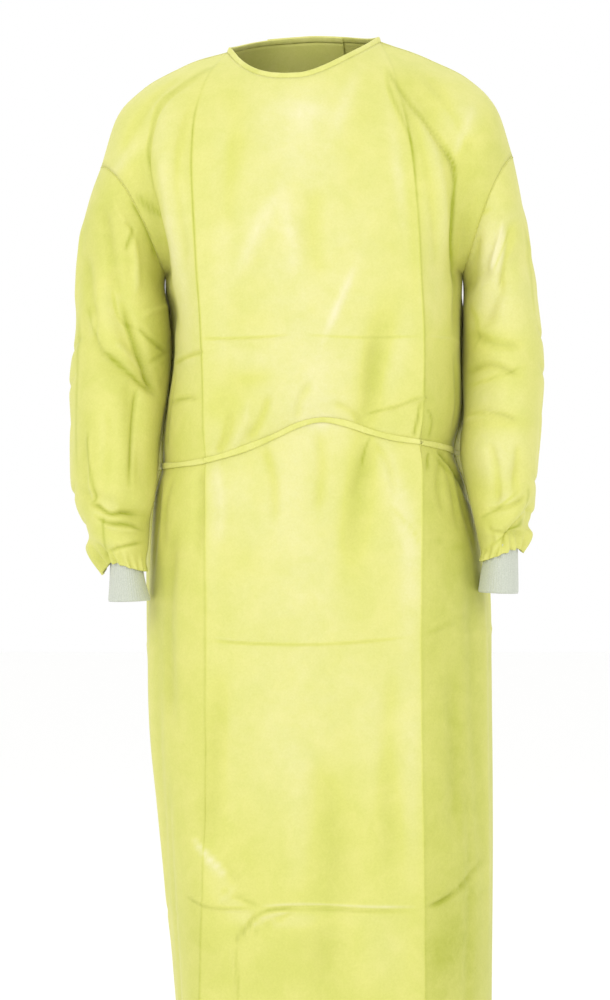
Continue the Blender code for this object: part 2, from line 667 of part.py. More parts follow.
def belt(front, front_in, under, under_in, over, over_in, finish):
    """The waist tie: a flat strip lying on the panels, made from their points, moved out."""
    low = LOWER_HEIGHTS.index(BELT_Z - BELT_ROW)
    columns = panel_columns(-1, 1)
    over_start = len(columns) - over.shape[1]
    climb = LAP_RISE * ease((columns + LAP_EDGE + LAP_CLIMB) / LAP_CLIMB)
    sections = []

    def section(grid, inward, j, rise=0.0):
        low_point, high_point = grid[low, j], grid[low + 1, j]
        out = -(inward[low, j] + inward[low + 1, j])
        out /= np.linalg.norm(out)
        share = (1 - BELT_WIDTH / (2 * BELT_ROW)) / 2
        bottom = low_point + (high_point - low_point) * share + out * (SEAM_GAP + rise)
        top = high_point - (high_point - low_point) * share + out * (SEAM_GAP + rise)
        sections.append([bottom, top, top + out * BELT_THICK, bottom + out * BELT_THICK])

    for j in range(len(columns)):
        section(front, front_in, j)
    for j in range(len(columns) - 2, 0, -1):
        if j >= over_start:
            section(over, over_in, j - over_start)
        else:
            section(under, under_in, j, climb[j])
    bar("belt", sections, finish, closed=True)


def belt_knot(over, over_in, finish):
    """The belt's knot, a rounded lump resting on the belt behind."""
    low = LOWER_HEIGHTS.index(BELT_Z - BELT_ROW)
    j = int(np.argmin(abs(panel_columns(-LAP_EDGE, 1))))
    out = -over_in[low, j]
    seat = (over[low, j] + over[low + 1, j]) / 2 + out * (2 * SEAM_GAP + BELT_THICK)
    ball = bmesh.new()
    bmesh.ops.create_uvsphere(
        ball, u_segments=KNOT_SEGMENTS[0], v_segments=KNOT_SEGMENTS[1], radius=1
    )
    mesh = bpy.data.meshes.new("belt_knot")
    ball.to_mesh(mesh)
    ball.free()
    for vertex in mesh.vertices:
        vertex.co = [half * coordinate for half, coordinate in zip(KNOT_HALF_SIZE, vertex.co)]
    mesh.materials.append(finish)
    mesh.shade_smooth()
    made = bpy.data.objects.new("belt_knot", mesh)
    made.location = seat + out * KNOT_HALF_SIZE[1]
    bpy.context.scene.collection.objects.link(made)


def belt_end(side, over, over_in, finish):
    """A free end of the belt that hangs down the back from under the knot."""
    at_knot, at_tip, tip_z = BELT_ENDS[side]
    first = LOWER_HEIGHTS.index(BELT_Z - BELT_ROW) - 1
    last = LOWER_HEIGHTS.index(tip_z)
    middle = int(np.argmin(abs(panel_columns(-LAP_EDGE, 1))))
    sections = []
    for row in range(first, last - 1, -1):
        place = middle + at_knot + (at_tip - at_knot) * (first - row) / (first - last)
        step = np.linalg.norm(over[row, middle + 1] - over[row, middle])
        out = -over_in[row, middle]
        edges = []
        for edge in (place - BELT_WIDTH / (2 * step), place + BELT_WIDTH / (2 * step)):
            k = int(math.floor(edge))
            on_cloth = over[row, k] + (over[row, k + 1] - over[row, k]) * (edge - k)
            edges.append(on_cloth + 2 * SEAM_GAP * out)
        right, left = edges
        sections.append([right, right + END_THICK * out, left + END_THICK * out, left])
    bar(f"belt_end_{side}", sections, finish)


def neck_tab(under, under_in, finish):
    """The hook-and-loop patch between the lapped back panels, just below the neckline."""
    columns = panel_columns(-1, LAP_EDGE)
    picked = np.flatnonzero(abs(columns) < NECK_TAB_REACH + 1e-6)
    rows = slice(-1 - NECK_TAB_ROWS, -1)
    outer = under[rows, picked[0]:picked[-1] + 1]
    out = -under_in[rows, picked[0]:picked[-1] + 1]
    thick = LAP_RISE - WALL - 2 * SEAM_GAP
    wall("neck_tab", outer + out * (SEAM_GAP + thick), outer + out * SEAM_GAP, finish, flip=True)


def main():
    for old in list(bpy.data.objects):
        bpy.data.objects.remove(old)
    lime = material("nonwoven", LIME, CLOTH_ROUGHNESS)
    knit = material("cuff_knit", KNIT, KNIT_ROUGHNESS)

    every = panel_columns(-1, 1)
    whole_front, whole_back = body_grid("front", every), body_grid("back", every)
    seams = {side: armhole_seam(side, whole_front, whole_back) for side in ("right", "left")}
    front, front_inner, front_in = panel_grids("front", whole_front, seams, -1, 1)
    wall("front_panel", front, front_inner, lime)
    under, under_inner, under_in = panel_grids("back", whole_back, seams, -1, LAP_EDGE)
    wall("back_right", under, under_inner, lime, flip=True)
    over, over_inner, over_in = panel_grids("back", whole_back, seams, -LAP_EDGE, 1, raised=True)
    wall("back_left", over, over_inner, lime, flip=True)

    for side in ("right", "left"):
        grid = sleeve_grid(side)
        sign = 1 if side == "left" else -1
        inward = sign * normals_of(grid, closed=True)
        seam, rim, arm = seams[side]
        grid[-1] = seam + SEAM_GAP * arm
        inward[-1] = rim
        wall(f"sleeve_{side}", grid, grid + WALL * inward, lime, closed=True, flip=side == "left")
        cuff(side, knit)

    neck_binding(front, front_in, under, under_in, over, over_in, lime)
    belt(front, front_in, under, under_in, over, over_in, lime)
    belt_knot(over, over_in, lime)
    for side in BELT_ENDS:
        belt_end(side, over, over_in, lime)
    neck_tab(under, under_in, lime)


main()
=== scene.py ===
"""The looks of the disposable gown: fine cloth shells on the frame's solids, their creases,
seams, knitted cuffs, materials, light and camera.

Metres, in the frame's own axes: +X is the wearer's left, -Y the front and +Z up. The shells come
from the same section tables as the solids, on a finer grid, with the small creases added.
"""

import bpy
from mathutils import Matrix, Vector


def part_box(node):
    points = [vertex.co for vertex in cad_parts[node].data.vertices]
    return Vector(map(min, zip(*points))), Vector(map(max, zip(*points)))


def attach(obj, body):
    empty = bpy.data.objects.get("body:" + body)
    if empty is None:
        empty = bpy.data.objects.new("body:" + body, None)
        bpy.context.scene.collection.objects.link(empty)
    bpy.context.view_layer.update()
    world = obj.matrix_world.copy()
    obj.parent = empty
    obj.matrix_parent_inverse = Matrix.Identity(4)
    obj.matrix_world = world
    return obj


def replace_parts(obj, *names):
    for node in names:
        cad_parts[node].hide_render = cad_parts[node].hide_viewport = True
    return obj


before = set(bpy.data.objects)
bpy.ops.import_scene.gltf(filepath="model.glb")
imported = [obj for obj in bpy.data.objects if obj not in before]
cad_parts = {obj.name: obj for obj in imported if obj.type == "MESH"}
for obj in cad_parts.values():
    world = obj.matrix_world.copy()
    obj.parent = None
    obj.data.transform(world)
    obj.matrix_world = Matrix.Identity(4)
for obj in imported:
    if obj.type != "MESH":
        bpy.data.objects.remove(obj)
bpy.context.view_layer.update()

import math

import bpy
import numpy as np
from mathutils import Vector

# Numbers this close count as equal
NEAR = 1e-6

# The wall of the solids, the sheet drawn on their outer face, and the heights that the body is built on
WALL = 0.0016
SHEET = 0.0005
HEM_Z = -1.300
ARMPIT_Z = -0.270
BELT_Z = -0.480

# The left back panel laps the right one: how far out it stands, how far past the middle each panel
# goes, and over how much of the width the belt climbs onto it, in shares of a panel's half width
LAP_RISE = 0.0026
LAP_EDGE = 0.28
LAP_CLIMB = 0.16

# A panel's corner is CREASE_AT of the way round. KNEE_RIGHT and KNEE_LEFT are how deep the cloth still
# is as it turns to the side seam. Behind, the turn lies at BACK_TURN of the reach and at
# BACK_TURN_DEPTH of the depth.
CREASE_AT = 0.56
KNEE_RIGHT = 0.70
KNEE_LEFT = 0.52
BACK_TURN = 0.62
BACK_TURN_DEPTH = 0.93

# Horizontal sections of the body below the armpits: how far it reaches to the wearer's right and
# left, where the side seams lie, how deep it is in front, at the pressed creases and behind, and how
# far the cloth behind each side seam billows out past it, all in millimetres.
SECTION_COLUMNS = (
    "z", "right", "left", "side_y", "front", "crease_right", "crease_left", "crease_depth", "back",
    "bulge_right", "bulge_left",
)
SECTIONS = (
    (-1300, 145, 222, 16, 150, 122, 137, 130, 150, 0, 0),
    (-1100, 158, 224, 16, 149, 122, 138, 130, 148, 0, 0),
    (-950, 174, 225, 15, 147, 119, 137, 129, 146, 0, 0),
    (-800, 189, 224, 15, 144, 117, 134, 127, 143, 0, 0),
    (-700, 190, 222, 14, 141, 116, 133, 125, 139, 12, 12),
    (-600, 187, 212, 12, 136, 117, 134, 121, 130, 36, 36),
    (-530, 181, 193.5, 10, 130, 118, 135, 116, 119, 46, 40),
    (-480, 174, 182, 8, 127, 119, 135, 112, 111, 44, 40),
    (-430, 166, 186.5, 7, 131, 120, 136, 115, 115, 46, 38),
    (-350, 157, 185, 6, 137, 122, 137, 121, 126, 40, 30),
    (-308, 161.2, 186.2, 5.5, 137.2, 124.5, 135, 121, 129, 32, 24),
    (-289, 167.2, 187.3, 5.2, 137, 125.8, 134, 121, 129.5, 18, 10),
    (-270, 169, 188, 5, 137, 127, 133, 121, 130, 8, 4),
)

# The height of the belt round the body, by how far round the panel it is: -1 and 1 at the side
# seams, 0 in the middle.
BELT_FRONT = (
    (-1.00, -0.500), (-0.56, -0.494), (-0.32, -0.478), (-0.19, -0.466), (-0.07, -0.4535), (0.035, -0.448),
    (0.16, -0.4517), (0.29, -0.4613), (0.39, -0.467), (0.56, -0.473), (1.00, -0.483),
)
BELT_BACK = ((-1.00, -0.500), (-0.5, -0.488), (0.0, -0.480), (0.5, -0.480), (1.00, -0.483))

# How far the belt draws the cloth in, how far above and below it that is felt, how far its climb warps
# the rows of cloth beside it, and the gap left below it for its knot
BELT_PULL = 0.005
BELT_PULL_REACH = 0.022
BELT_WARP_REACH = 0.13
BELT_ROW = 0.005

# The belt: its section, how square that is, how far it clears the cloth, and how much it tilts
BELT_WIDTH = 0.0068
BELT_THICK = 0.0022
BELT_SIDES = 12
BELT_POWER = 0.55
BELT_SMOOTHING = 3
BELT_CLEAR = 0.0003
BELT_TILT = 0.5

# The two hanging ends of the belt, behind: the end's place at the knot and at its tip, counted in the
# solids' grid columns from the middle, and the height it hangs down to. Then their thickness and how
# full they are, how far and how often they wander and twist, and how narrow they start at the knot.
COARSE_MIDDLE_STEPS = 14
END_THICK = 0.0016
END_FULLNESS = 1.1
END_WANDER = (0.12, 5)
END_TWIST = (0.5, 7)
END_START, END_START_REACH = 0.55, 0.12
BELT_ENDS = {"right": (-0.30, -0.95, -0.730), "left": (0.30, 0.80, -0.700)}

# The knot: points round and down it, how much of its solid it fills, and how deep its wraps are
KNOT_TURNS = (40, 26)
KNOT_FILL = 0.9
KNOT_WRAPS = (0.10, 0.05)

# The neck binding: its section, how square that is, and how often its directions are smoothed
BINDING_HEIGHT = 0.007
BINDING_THICK = 0.0026
BINDING_SIDES = 12
BINDING_POWER = 0.6
NECK_SMOOTHING = 30

# The hook-and-loop patch between the lapped backs: how far it reaches to each side of the middle, where
# it starts and ends on the way up to the neckline, its distance from the right panel and its thickness
PATCH_REACH = 0.13
PATCH_FROM, PATCH_TO = 0.74, 0.92
PATCH_OUT = 0.0014
PATCH_THICK = 0.0008

# Seams: the raised thread line's radius, its sides and how far it stands out of the armhole
SEAM_RADIUS = 0.0004
SEAM_SIDES = 6
SEAM_OUT = 0.4
UP = np.array([0.0, 0.0, 1.0])

# Above the armpits each panel is strung between these points, in metres, and lines, in thousandths.
# Columns of the lines: how far up the line, x, y, z.
NECK_POINT = {"right": (-0.095, 0.004, -0.002), "left": (0.090, 0.004, 0.010)}
SHOULDER_TIP = {"right": (-0.246, 0.005, -0.142), "left": (0.248, 0.005, -0.130)}
SHOULDER_LINE = {
    "right": (
        (350, -150, 6, -20.5), (600, -195, 6, -46), (800, -224, 5, -78),
    ),
    "left": (
        (350, 150, 6, -11.5), (600, 197, 6, -36), (800, 227, 5, -68),
    ),
}
CREASE_LINE = {
    ("front", "right"): (
        (250, -131, -117, -200), (500, -133, -105, -135), (700, -128, -82, -80), (850, -115, -50, -38),
    ),
    ("front", "left"): (
        (250, 129, -117, -200), (500, 122, -106, -130), (700, 113, -84, -72), (850, 102, -52, -30),
    ),
    ("back", "right"): (
        (300, -112, 117, -185), (550, -114, 104, -112), (750, -109, 80, -60), (900, -101, 45, -21),
    ),
    ("back", "left"): (
        (300, 118, 117, -180), (550, 115, 104, -105), (750, 107, 80, -50), (900, 98, 45, -10),
    ),
}
CENTRE_LINE = {
    "front": (
        (250, 2, -133, -218), (500, 0, -125, -165), (750, -4, -109, -108), (1000, -8, -86, -46),
    ),
    "back": (
        (300, 0, 131, -190), (600, 0, 118, -100), (850, 0, 93, -20), (1000, 0, 74, 22),
    ),
}

# How round the neckline is on each side and in plan, how deep and bowed the armholes are, and how much
# the cloth swells between neck and armhole
NECK_ROUNDNESS = {"right": 2.8, "left": 1.7}
NECK_PLAN_ROUNDNESS = 0.78
NECK_PLAN_POWER = 2.4
ARMHOLE_DEPTH = 0.080
ARMHOLE_BOW = 0.024
SHOULDER_SWELL = 0.012

# Sleeve sections: the outer and inner edge seen from the front, the middle's y, half the depth,
# and the pinched ear of cloth at the cuff, how far it stands out and hangs down, all in millimetres.
SLEEVE_COLUMNS = ("outer_x", "outer_z", "inner_x", "inner_z", "y", "depth", "ear", "ear_drop")
SLEEVES = {
    "right": (
        (-246, -142, -169, -270, 5, 80, 0, 0), (-262, -185, -170, -292, 4, 80, 0, 0),
        (-271, -228, -164.5, -318, 2, 79, 0, 0), (-276, -276, -160.8, -350, 0, 77, 0, 0),
        (-275.5, -336, -162.8, -392, -6, 75, 0, 0), (-281, -396, -168, -436, -16, 73, 0, 0),
        (-279, -456, -174.2, -482, -30, 69, 0, 0), (-278, -512, -177.7, -528, -44, 64, 0, 0),
        (-271, -548, -183.7, -564, -54, 58, 0, 0), (-257, -580, -186.5, -594, -60, 49, 0, 0),
        (-242, -598, -189, -611, -63, 40, 17, 1), (-233, -611, -188.5, -624, -64, 34, 6, 17),
    ),
    "left": (
        (248, -130, 188, -270, 5, 80, 0, 0), (260, -185, 190, -292, 4, 80, 0, 0),
        (267, -230, 188.6, -318, 2, 79, 0, 0), (275, -282, 187.5, -350, 0, 77, 0, 0),
        (282, -340, 187.3, -392, -6, 75, 0, 0), (283, -396, 187, -436, -16, 73, 0, 0),
        (278, -456, 182.9, -482, -30, 69, 0, 0), (272, -516, 191.7, -530, -44, 62, 0, 0),
        (270, -550, 199.2, -568, -54, 55, 0, 0), (263, -568, 204.6, -590, -60, 47, 0, 0),
        (256, -580, 207, -602, -63, 39, 11, 1), (251.5, -594, 206, -612, -64, 34, 3, 8),
    ),
}
EAR_NARROWNESS = 10
# Over how much of the sleeve the armhole's bow fades out
BOW_REACH = 0.3

# Knitted cuffs, the upper ring first, in thousandths. Columns: how far each ring's middle lies below the
# middle of the sleeve's end and to the wearer's left of it, how far the ring still slants like that
# end, its half width and its half depth.
CUFF_RINGS = {
    "right": (
        (-12, -0.6, 1000, 19.6, 31.6), (3, 0.2, 1000, 20.6, 31.9),
        (22, 1.6, 450, 22.2, 32.8), (41, 3.2, -100, 25.2, 34.5),
    ),
    "left": (
        (-12, 1.2, 1000, 21, 31.6), (3, -0.3, 1000, 22.2, 31.9),
        (24, -1.6, 500, 22.8, 32.6), (46, -2.6, -100, 23.6, 33.5),
    ),
}

# Folds that show from a step away, in millimetres. Columns: the line's ends x0, z0, x1, z1 seen from
# the front, how far its middle bends sideways, half its width and its depth. FOLD_END is the share of
# the line over which a fold fades in before its ends and out past them.
FOLD_END = 0.15
FRONT_FOLDS = (
    (-188, -85, -180, -262, -10, 20, 12), (128, -60, 186, -262, 20, 20, 13),
    (86, -330, 70, -462, 4, 18, 7), (70, -470, 52, -600, 4, 18, 7), (-60, -250, -85, -440, 10, 30, 5),
    (30, -800, 36, -1300, 0, 35, 8), (-100, -800, -80, -1020, 0, 30, 4),
)
BACK_FOLDS = (
    (-110, -100, -140, -440, 10, 24, 8), (115, -90, 150, -440, -10, 24, 8),
    (-90, -500, -105, -1300, 6, 30, 10), (110, -500, 125, -1300, -6, 30, 10),
)
SLEEVE_FOLDS = {
    "right": (
        (-228, -290, -176, -405, -6, 12, 10), (-262, -330, -212, -392, -12, 10, 6),
        (-268, -535, -186, -565, 6, 10, 9), (-205, -400, -190, -520, 0, 12, 5),
    ),
    "left": (
        (256, -250, 206, -330, -4, 12, 8), (230, -210, 206, -280, 0, 10, 6),
        (272, -545, 216, -590, 6, 10, 8), (256, -500, 212, -540, 0, 12, 6),
    ),
}

# Rows below the armpits, which ROW_STEPS then divides
LOWER_HEIGHTS = (
    HEM_Z, -1.255, -1.210, -1.160, -1.110, -1.060, -1.026, -0.990, -0.940, -0.885, -0.830,
    -0.775, -0.730, -0.700, -0.655, -0.610, -0.570, -0.535, -0.510, -0.492, -0.485, -0.475,
    -0.468, -0.450, -0.425, -0.395, -0.365, -0.345, -0.320, -0.295, ARMPIT_Z,
)

# How fine the grids are: steps between a panel's corner and its side seam and between its corners, rows
# above the armpits, and points round and along a sleeve
SIDE_STEPS = 34
MIDDLE_STEPS = 96
UPPER_ROWS = 63
SLEEVE_AROUND = 150
SLEEVE_ALONG = 165

# Creases and folds, placed as seen from the front, in millimetres. Columns: half width, depth (a ridge
# is less than nothing), lean (one side lifted, the other lowered), and x, z of each of the line's points.
FRONT_CREASES = (
    (1.6, -0.7, 0.5, -116, -356, -65, -353, -5, -351), (1.6, -0.6, 0.4, 137, -351, 155, -350, 174, -351),
    (1.7, -0.8, 0.6, -116, -696, -65, -703, 28, -704, 134, -697),
    (1.8, -0.6, 0.5, 137, -696, 162, -686, 190, -672),
    (1.8, 0.9, 0.8, -56, -1010, -7, -1006, 62, -1010, 137, -1012),
    (2.4, 1.6, 1.6, 137, -1012, 161, -1003, 184, -989, 216, -959),
    (2, -1.4, 0.8, -137, -996, -106, -1009, -56, -1010), (2, 1.3, 1, -56, -1010, -72, -1031, -87, -1050),
    (2.4, -1.4, 0.8, -87, -1050, -51, -1020, -7, -1007),
    (1.8, -0.8, 0.4, -87, -1050, -82, -1084, -79, -1130), (3.4, 1, 0, -97, -954, -83, -975, -69, -980),
    (3.2, -0.8, 0, -106, -1009, -86, -989, -69, -970),
    (3, 1.6, 0.5, -112, -33, -141, -51, -162, -68, -178, -91, -186, -126, -190, -156, -184, -186),
    (6, 2.6, 1, -187, -170, -182, -210, -171, -257, -160, -309, -150, -355),
    (6, -1.2, 0, -169, -124, -165, -181, -155, -251, -143, -309),
    (5, 1.4, 0, -127, -66, -143, -112, -150, -170, -143, -239, -134, -297),
    (3.2, 2.4, 0.8, 97, -31, 120, -74, 138, -96, 150, -115, 167, -139, 175, -161, 177, -193),
    (5, 2.6, -1, 175, -170, 178, -210, 180, -265, 179, -309, 175, -361),
    (6, -1.4, 0, 113, -52, 137, -100, 155, -152, 164, -210, 165, -274),
    (5, 1.4, 0, 104, -52, 125, -106, 141, -164, 150, -228, 153, -297),
    (5, 1.8, 0, 132, -31, 162, -68, 185, -112, 194, -147),
    (5, 1.6, 0, -139, -33, -180, -68, -208, -105, -220, -147),
    (9, -1.3, 0, -35, -184, -54, -225, -81, -288), (8, -1, 0, -30, -188, -17, -238, -13, -281),
    (5, -1.1, 0.4, 53, -281, 39, -311, 24, -346), (14, 2.6, 0, 14, -170, 7, -228, 19, -297),
    (12, 2.2, 0, -76, -100, -90, -170, -97, -239), (9, 1.8, 0.6, 79, -350, 75, -403, 73, -457),
    (8, 1.7, 0.6, 73, -471, 65, -505, 51, -545), (4, 1.6, 0, 69, -457, 51, -438, 28, -427),
    (4, 1.8, 0, 76, -471, 95, -496, 104, -540),
    (2.2, -1.4, 1.2, 80, -441, 106, -430, 132, -422, 142, -422),
    (2, 1.4, 0.8, 133, -423, 130, -447, 125, -471), (2, -1.2, 0.8, 139, -437, 145, -445, 146, -473),
    (2.4, 1.4, 0.6, 146, -484, 143, -496, 141, -510),
    (3, 2.2, 1.4, 156, -483, 167, -491, 184, -519, 197, -549),
    (4, 1.6, 0, 162, -489, 155, -517, 162, -563), (5, 2.2, 0, -106, -489, -93, -466, -86, -434),
    (5, 2.2, 0, -69, -475, -51, -445, -42, -415), (5, -1.8, 0, -88, -484, -72, -454, -65, -420),
    (5, 1.8, 0, -9, -452, -7, -427, 7, -401), (6, 2.4, 0, -127, -498, -123, -540, -127, -609),
    (6, -2, 0, -106, -496, -97, -540, -99, -596), (6, 2.2, 0, -51, -471, -37, -517, -35, -575),
    (7, 2, 0, 14, -454, 19, -505, 12, -563), (3, 1.6, 1, -157, -380, -137, -373, -116, -369),
    (3, 1.4, 0.8, -160, -429, -143, -422, -125, -424), (13, 0.7, 0.3, 14, -841, 32, -910, 37, -991),
    (14, -0.8, 0, -12, -795, -7, -910, -9, -1003), (12, 2.4, 0, -97, -725, -106, -841, -116, -956),
    (9, 2.2, 0, 169, -725, 174, -841, 171, -945), (12, 2.2, 0, 99, -725, 95, -841, 99, -991),
    (8, 3, 0, -155, -563, -162, -679, -157, -818),
)
SLEEVE_CREASES = {
    "right": (
        (5, 3, 0.6, -203, -183, -183, -218, -174, -260),
        (4.4, 3.4, 0.8, -220, -303, -200, -350, -183, -390, -173, -420),
        (3.4, 1.8, 0.8, -254, -340, -245, -364, -228, -380, -198, -399),
        (4, 2, -0.8, -237, -364, -216, -380, -192, -401, -170, -420),
        (5, -1.6, 0, -228, -352, -202, -373, -176, -399),
        (3, -2, 1, -254, -452, -249, -495, -250, -528, -256, -542),
        (3, 1.8, 0.8, -196, -406, -199, -435, -203, -478, -206, -535),
        (6, 1.2, 0, -228, -427, -228, -481, -233, -540), (7, 2.6, 0, -242, -187, -230, -246, -221, -305),
        (5, -2, 0, -209, -211, -200, -258, -198, -305), (6, 2, 0, -261, -246, -254, -293, -252, -335),
        (3, 2.8, 1, -256, -544, -243, -548, -227, -556, -206, -555, -182, -561),
        (3, 2.4, 0.8, -248, -556, -230, -567, -206, -569, -185, -578),
        (3, -1.8, 0, -252, -554, -221, -573, -186, -575),
        (2.6, 1.6, 0.4, -233, -602, -210, -594, -187, -589),
        (2.6, 1, 0, -245, -587, -233, -606, -228, -625),
        (2.6, 0.8, 0, -221, -587, -216, -606, -216, -625),
        (3, 1.4, 0.6, -198, -334, -181, -352, -162, -366),
        (2.6, -1.2, 0.4, -195, -326, -176, -314, -162, -305),
        (2.6, 1.2, 0.4, -181, -382, -172, -371, -160, -361),
        (3, 1.2, 0.4, -252, -305, -247, -331, -254, -359),
        (2.6, 1.4, 0.5, -214, -213, -203, -225, -212, -251),
        (3, -1, 0, -228, -183, -219, -204, -207, -218),
    ),
    "left": (
        (4, 2.2, 0.8, 183, -211, 198, -200, 214, -192), (4, -2, 0.6, 235, -208, 223, -241, 212, -277),
        (6, 2.6, 0, 245, -204, 237, -253, 226, -305), (5, 2.2, 0, 202, -223, 198, -260, 193, -300),
        (5, 2.4, 0.5, 190, -340, 219, -357, 259, -359), (3.6, 2.4, 0.7, 188, -390, 216, -382, 256, -397),
        (3, -2.2, 1.2, 183, -447, 202, -440, 221, -438, 254, -452),
        (5, 2.2, 0, 212, -469, 221, -505, 219, -552), (5, 1.8, 0, 245, -469, 247, -505, 242, -540),
        (3.2, 1.4, 0.6, 263, -554, 242, -573, 221, -601), (3, 2.6, 0.7, 259, -535, 235, -547, 207, -552),
        (3, 2, 0, 261, -580, 237, -582, 209, -575), (2.6, 1, 0, 212, -564, 214, -587, 209, -606),
        (2.6, 0.8, 0, 230, -568, 230, -587, 228, -601),
    ),
}
# Patches of paler and deeper colour: partly the cloth looking paler where it lies close over what is
# worn beneath it and deeper where it stands off, and partly painted light and painted shade, such as
# painted highlights and painted shade on the sleeves and painted light on the sides of the chest.
# Columns, the first four in millimetres and the others in thousandths: the middle x, z, half width,
# half height, how far x goes for the way up, and the change of tone, paler above nothing.
FRONT_TONES = (
    (-3, -87, 23, 15, 0, 340), (-7, -103, 64, 52, 0, 190), (-7, -251, 106, 197, 0, 310),
    (-56, -230, 9, 49, 500, 210), (-20, -235, 8, 46, -150, 120), (37, -316, 5, 39, 420, 370),
    (7, -413, 52, 64, 0, 220), (16, -449, 25, 8, 0, 280), (47, -75, 9, 39, 350, 190),
    (106, -161, 7, 69, -120, 220), (-97, -239, 10, 127, 0, 140), (-81, -89, 19, 46, -200, -110),
    (53, -135, 21, 69, 100, -110), (174, -98, 35, 46, 300, 310), (185, -110, 6, 30, 350, 280),
    (-194, -112, 35, 46, 400, 220), (-220, -147, 8, 25, 500, 190), (-153, -262, 21, 139, -100, 310),
    (125, -239, 8, 127, -50, -110), (153, -251, 23, 139, 0, 220), (79, -380, 15, 58, 200, -300),
    (-58, -399, 25, 10, 500, -170), (-97, -430, 19, 16, 0, -120), (104, -378, 14, 46, 300, 190),
    (-71, -376, 28, 19, -300, 150), (-106, -546, 8, 69, 0, 170), (-81, -528, 21, 35, 0, 140),
    (-21, -528, 19, 58, 200, 150), (106, -540, 13, 72, -250, 310), (120, -644, 14, 81, 0, 250),
    (5, -609, 110, 127, 0, 260), (59, -534, 15, 76, 160, -310), (60, -609, 23, 81, 0, -140),
    (-65, -615, 30, 19, 0, -90), (172, -609, 30, 69, 0, -90), (172, -841, 28, 150, 0, -90),
    (-7, -818, 81, 104, 0, 220), (99, -795, 39, 69, 0, 190), (123, -864, 12, 104, 0, 140),
    (-90, -841, 16, 93, 0, 70), (19, -875, 13, 46, -100, -60), (28, -945, 13, 58, -50, -120),
    (21, -1055, 13, 39, 0, -150), (-111, -959, 9, 30, -700, 190), (-90, -1003, 16, 23, -800, 150),
    (-7, -1021, 69, 10, 0, 190), (86, -1055, 46, 39, 0, 90), (-117, -1061, 25, 58, -200, -190),
    (-30, -1072, 42, 39, 300, -120), (172, -1061, 37, 58, 0, -340), (199, -945, 16, 69, 200, -70),
)
SLEEVE_TONES = {
    "right": (
        (-235, -223, 40, 71, 0, -200), (-193, -246, 11, 59, -350, -90), (-230, -293, 16, 35, 0, 140),
        (-183, -446, 9, 47, 0, -120), (-219, -328, 21, 26, -500, 120), (-174, -352, 14, 40, -100, -280),
        (-228, -394, 28, 35, -200, -190), (-233, -469, 12, 71, 0, 70), (-209, -493, 8, 71, 0, -150),
        (-188, -469, 7, 59, 0, 60), (-256, -493, 11, 71, 0, -190), (-230, -549, 26, 12, -300, 150),
        (-201, -575, 21, 14, -200, -220), (-228, -593, 21, 11, -300, 70), (-242, -611, 14, 16, 0, -220),
        (-261, -305, 7, 106, 0, -90),
    ),
    "left": (
        (228, -240, 11, 40, 450, 250), (209, -246, 21, 75, 0, 250), (247, -258, 9, 59, 0, -70),
        (226, -293, 40, 71, 0, 260), (216, -352, 31, 16, -100, -140), (205, -417, 16, 19, 0, 220),
        (237, -420, 19, 16, -200, 110), (226, -451, 26, 8, 0, -150), (222, -487, 33, 40, 0, 310),
        (205, -528, 12, 31, -300, -60), (228, -540, 14, 11, 400, 250), (245, -575, 12, 21, 600, -190),
        (216, -587, 14, 14, 0, 120),
    ),
}
BACK_TONES = (
    (-20, -180, 70, 120, 0, 350), (60, -300, 40, 140, 100, 200), (-80, -350, 20, 120, 0, -250),
    (110, -260, 14, 150, 0, -250), (0, -620, 110, 120, 0, 200), (-120, -900, 22, 250, 0, -300),
    (30, -980, 14, 200, 50, -280), (120, -850, 30, 180, 0, 220), (-40, -1150, 50, 100, 0, 150),
)
BACK_CREASES = (
    (2.4, -1, 0.6, -118, -330, -20, -328, 110, -334), (2.4, -1, 0.6, -120, -700, 0, -704, 128, -698),
    (2.4, 1, 0.6, -112, -1010, 0, -1014, 130, -1008),
    (2.2, -1, 0.5, -118, -120, -121, -600, -110, -1300),
    (2.2, -1, 0.5, 118, -120, 124, -600, 138, -1300), (14, 2.4, 0, 60, -360, 50, -430, 20, -474),
    (14, 2, 0, -70, -350, -50, -420, -30, -470), (14, 2.4, 0, 30, -486, 52, -560, 60, -660),
    (16, 2.2, 0, -30, -490, -50, -560, -56, -640), (12, 2.2, 0, 125, -380, 95, -440, 70, -476),
    (18, 3, 0, -140, -300, -110, -250, -80, -160), (18, 3, 0, 150, -310, 120, -250, 85, -150),
)
# Creases of the body's sides and of the sleeves' outer sides, as seen from the side. Columns as in the
# creases above, with y in place of x. Behind the side seams y is turned round, and on the wearer's
# right they lie SIDE_SHIFT or OUTSIDE_SHIFT lower.
SIDE_CREASES = (
    (10, 1.4, 0, -62, -560, -68, -760, -58, -1000), (9, -1.2, 0, -36, -600, -41, -820, -33, -1120),
    (7, 1.2, 0, -84, -820, -78, -980, -86, -1180), (5, 1.3, 0.3, -46, -488, -52, -540, -44, -620),
    (5, 1.3, 0.3, -78, -486, -70, -530, -76, -580), (6, 1.3, 0, -50, -462, -46, -420, -56, -360),
    (4.4, -0.5, 0.4, -108, -352, -60, -350, -20, -353), (5, -0.5, 0.4, -108, -697, -50, -694, -8, -698),
    (6, 0.5, 0.4, -108, -1012, -60, -1004, -8, -1010),
)
SIDE_SHIFT = 0.022
SIDE_FROM = 0.60
SIDE_REACH = 0.14
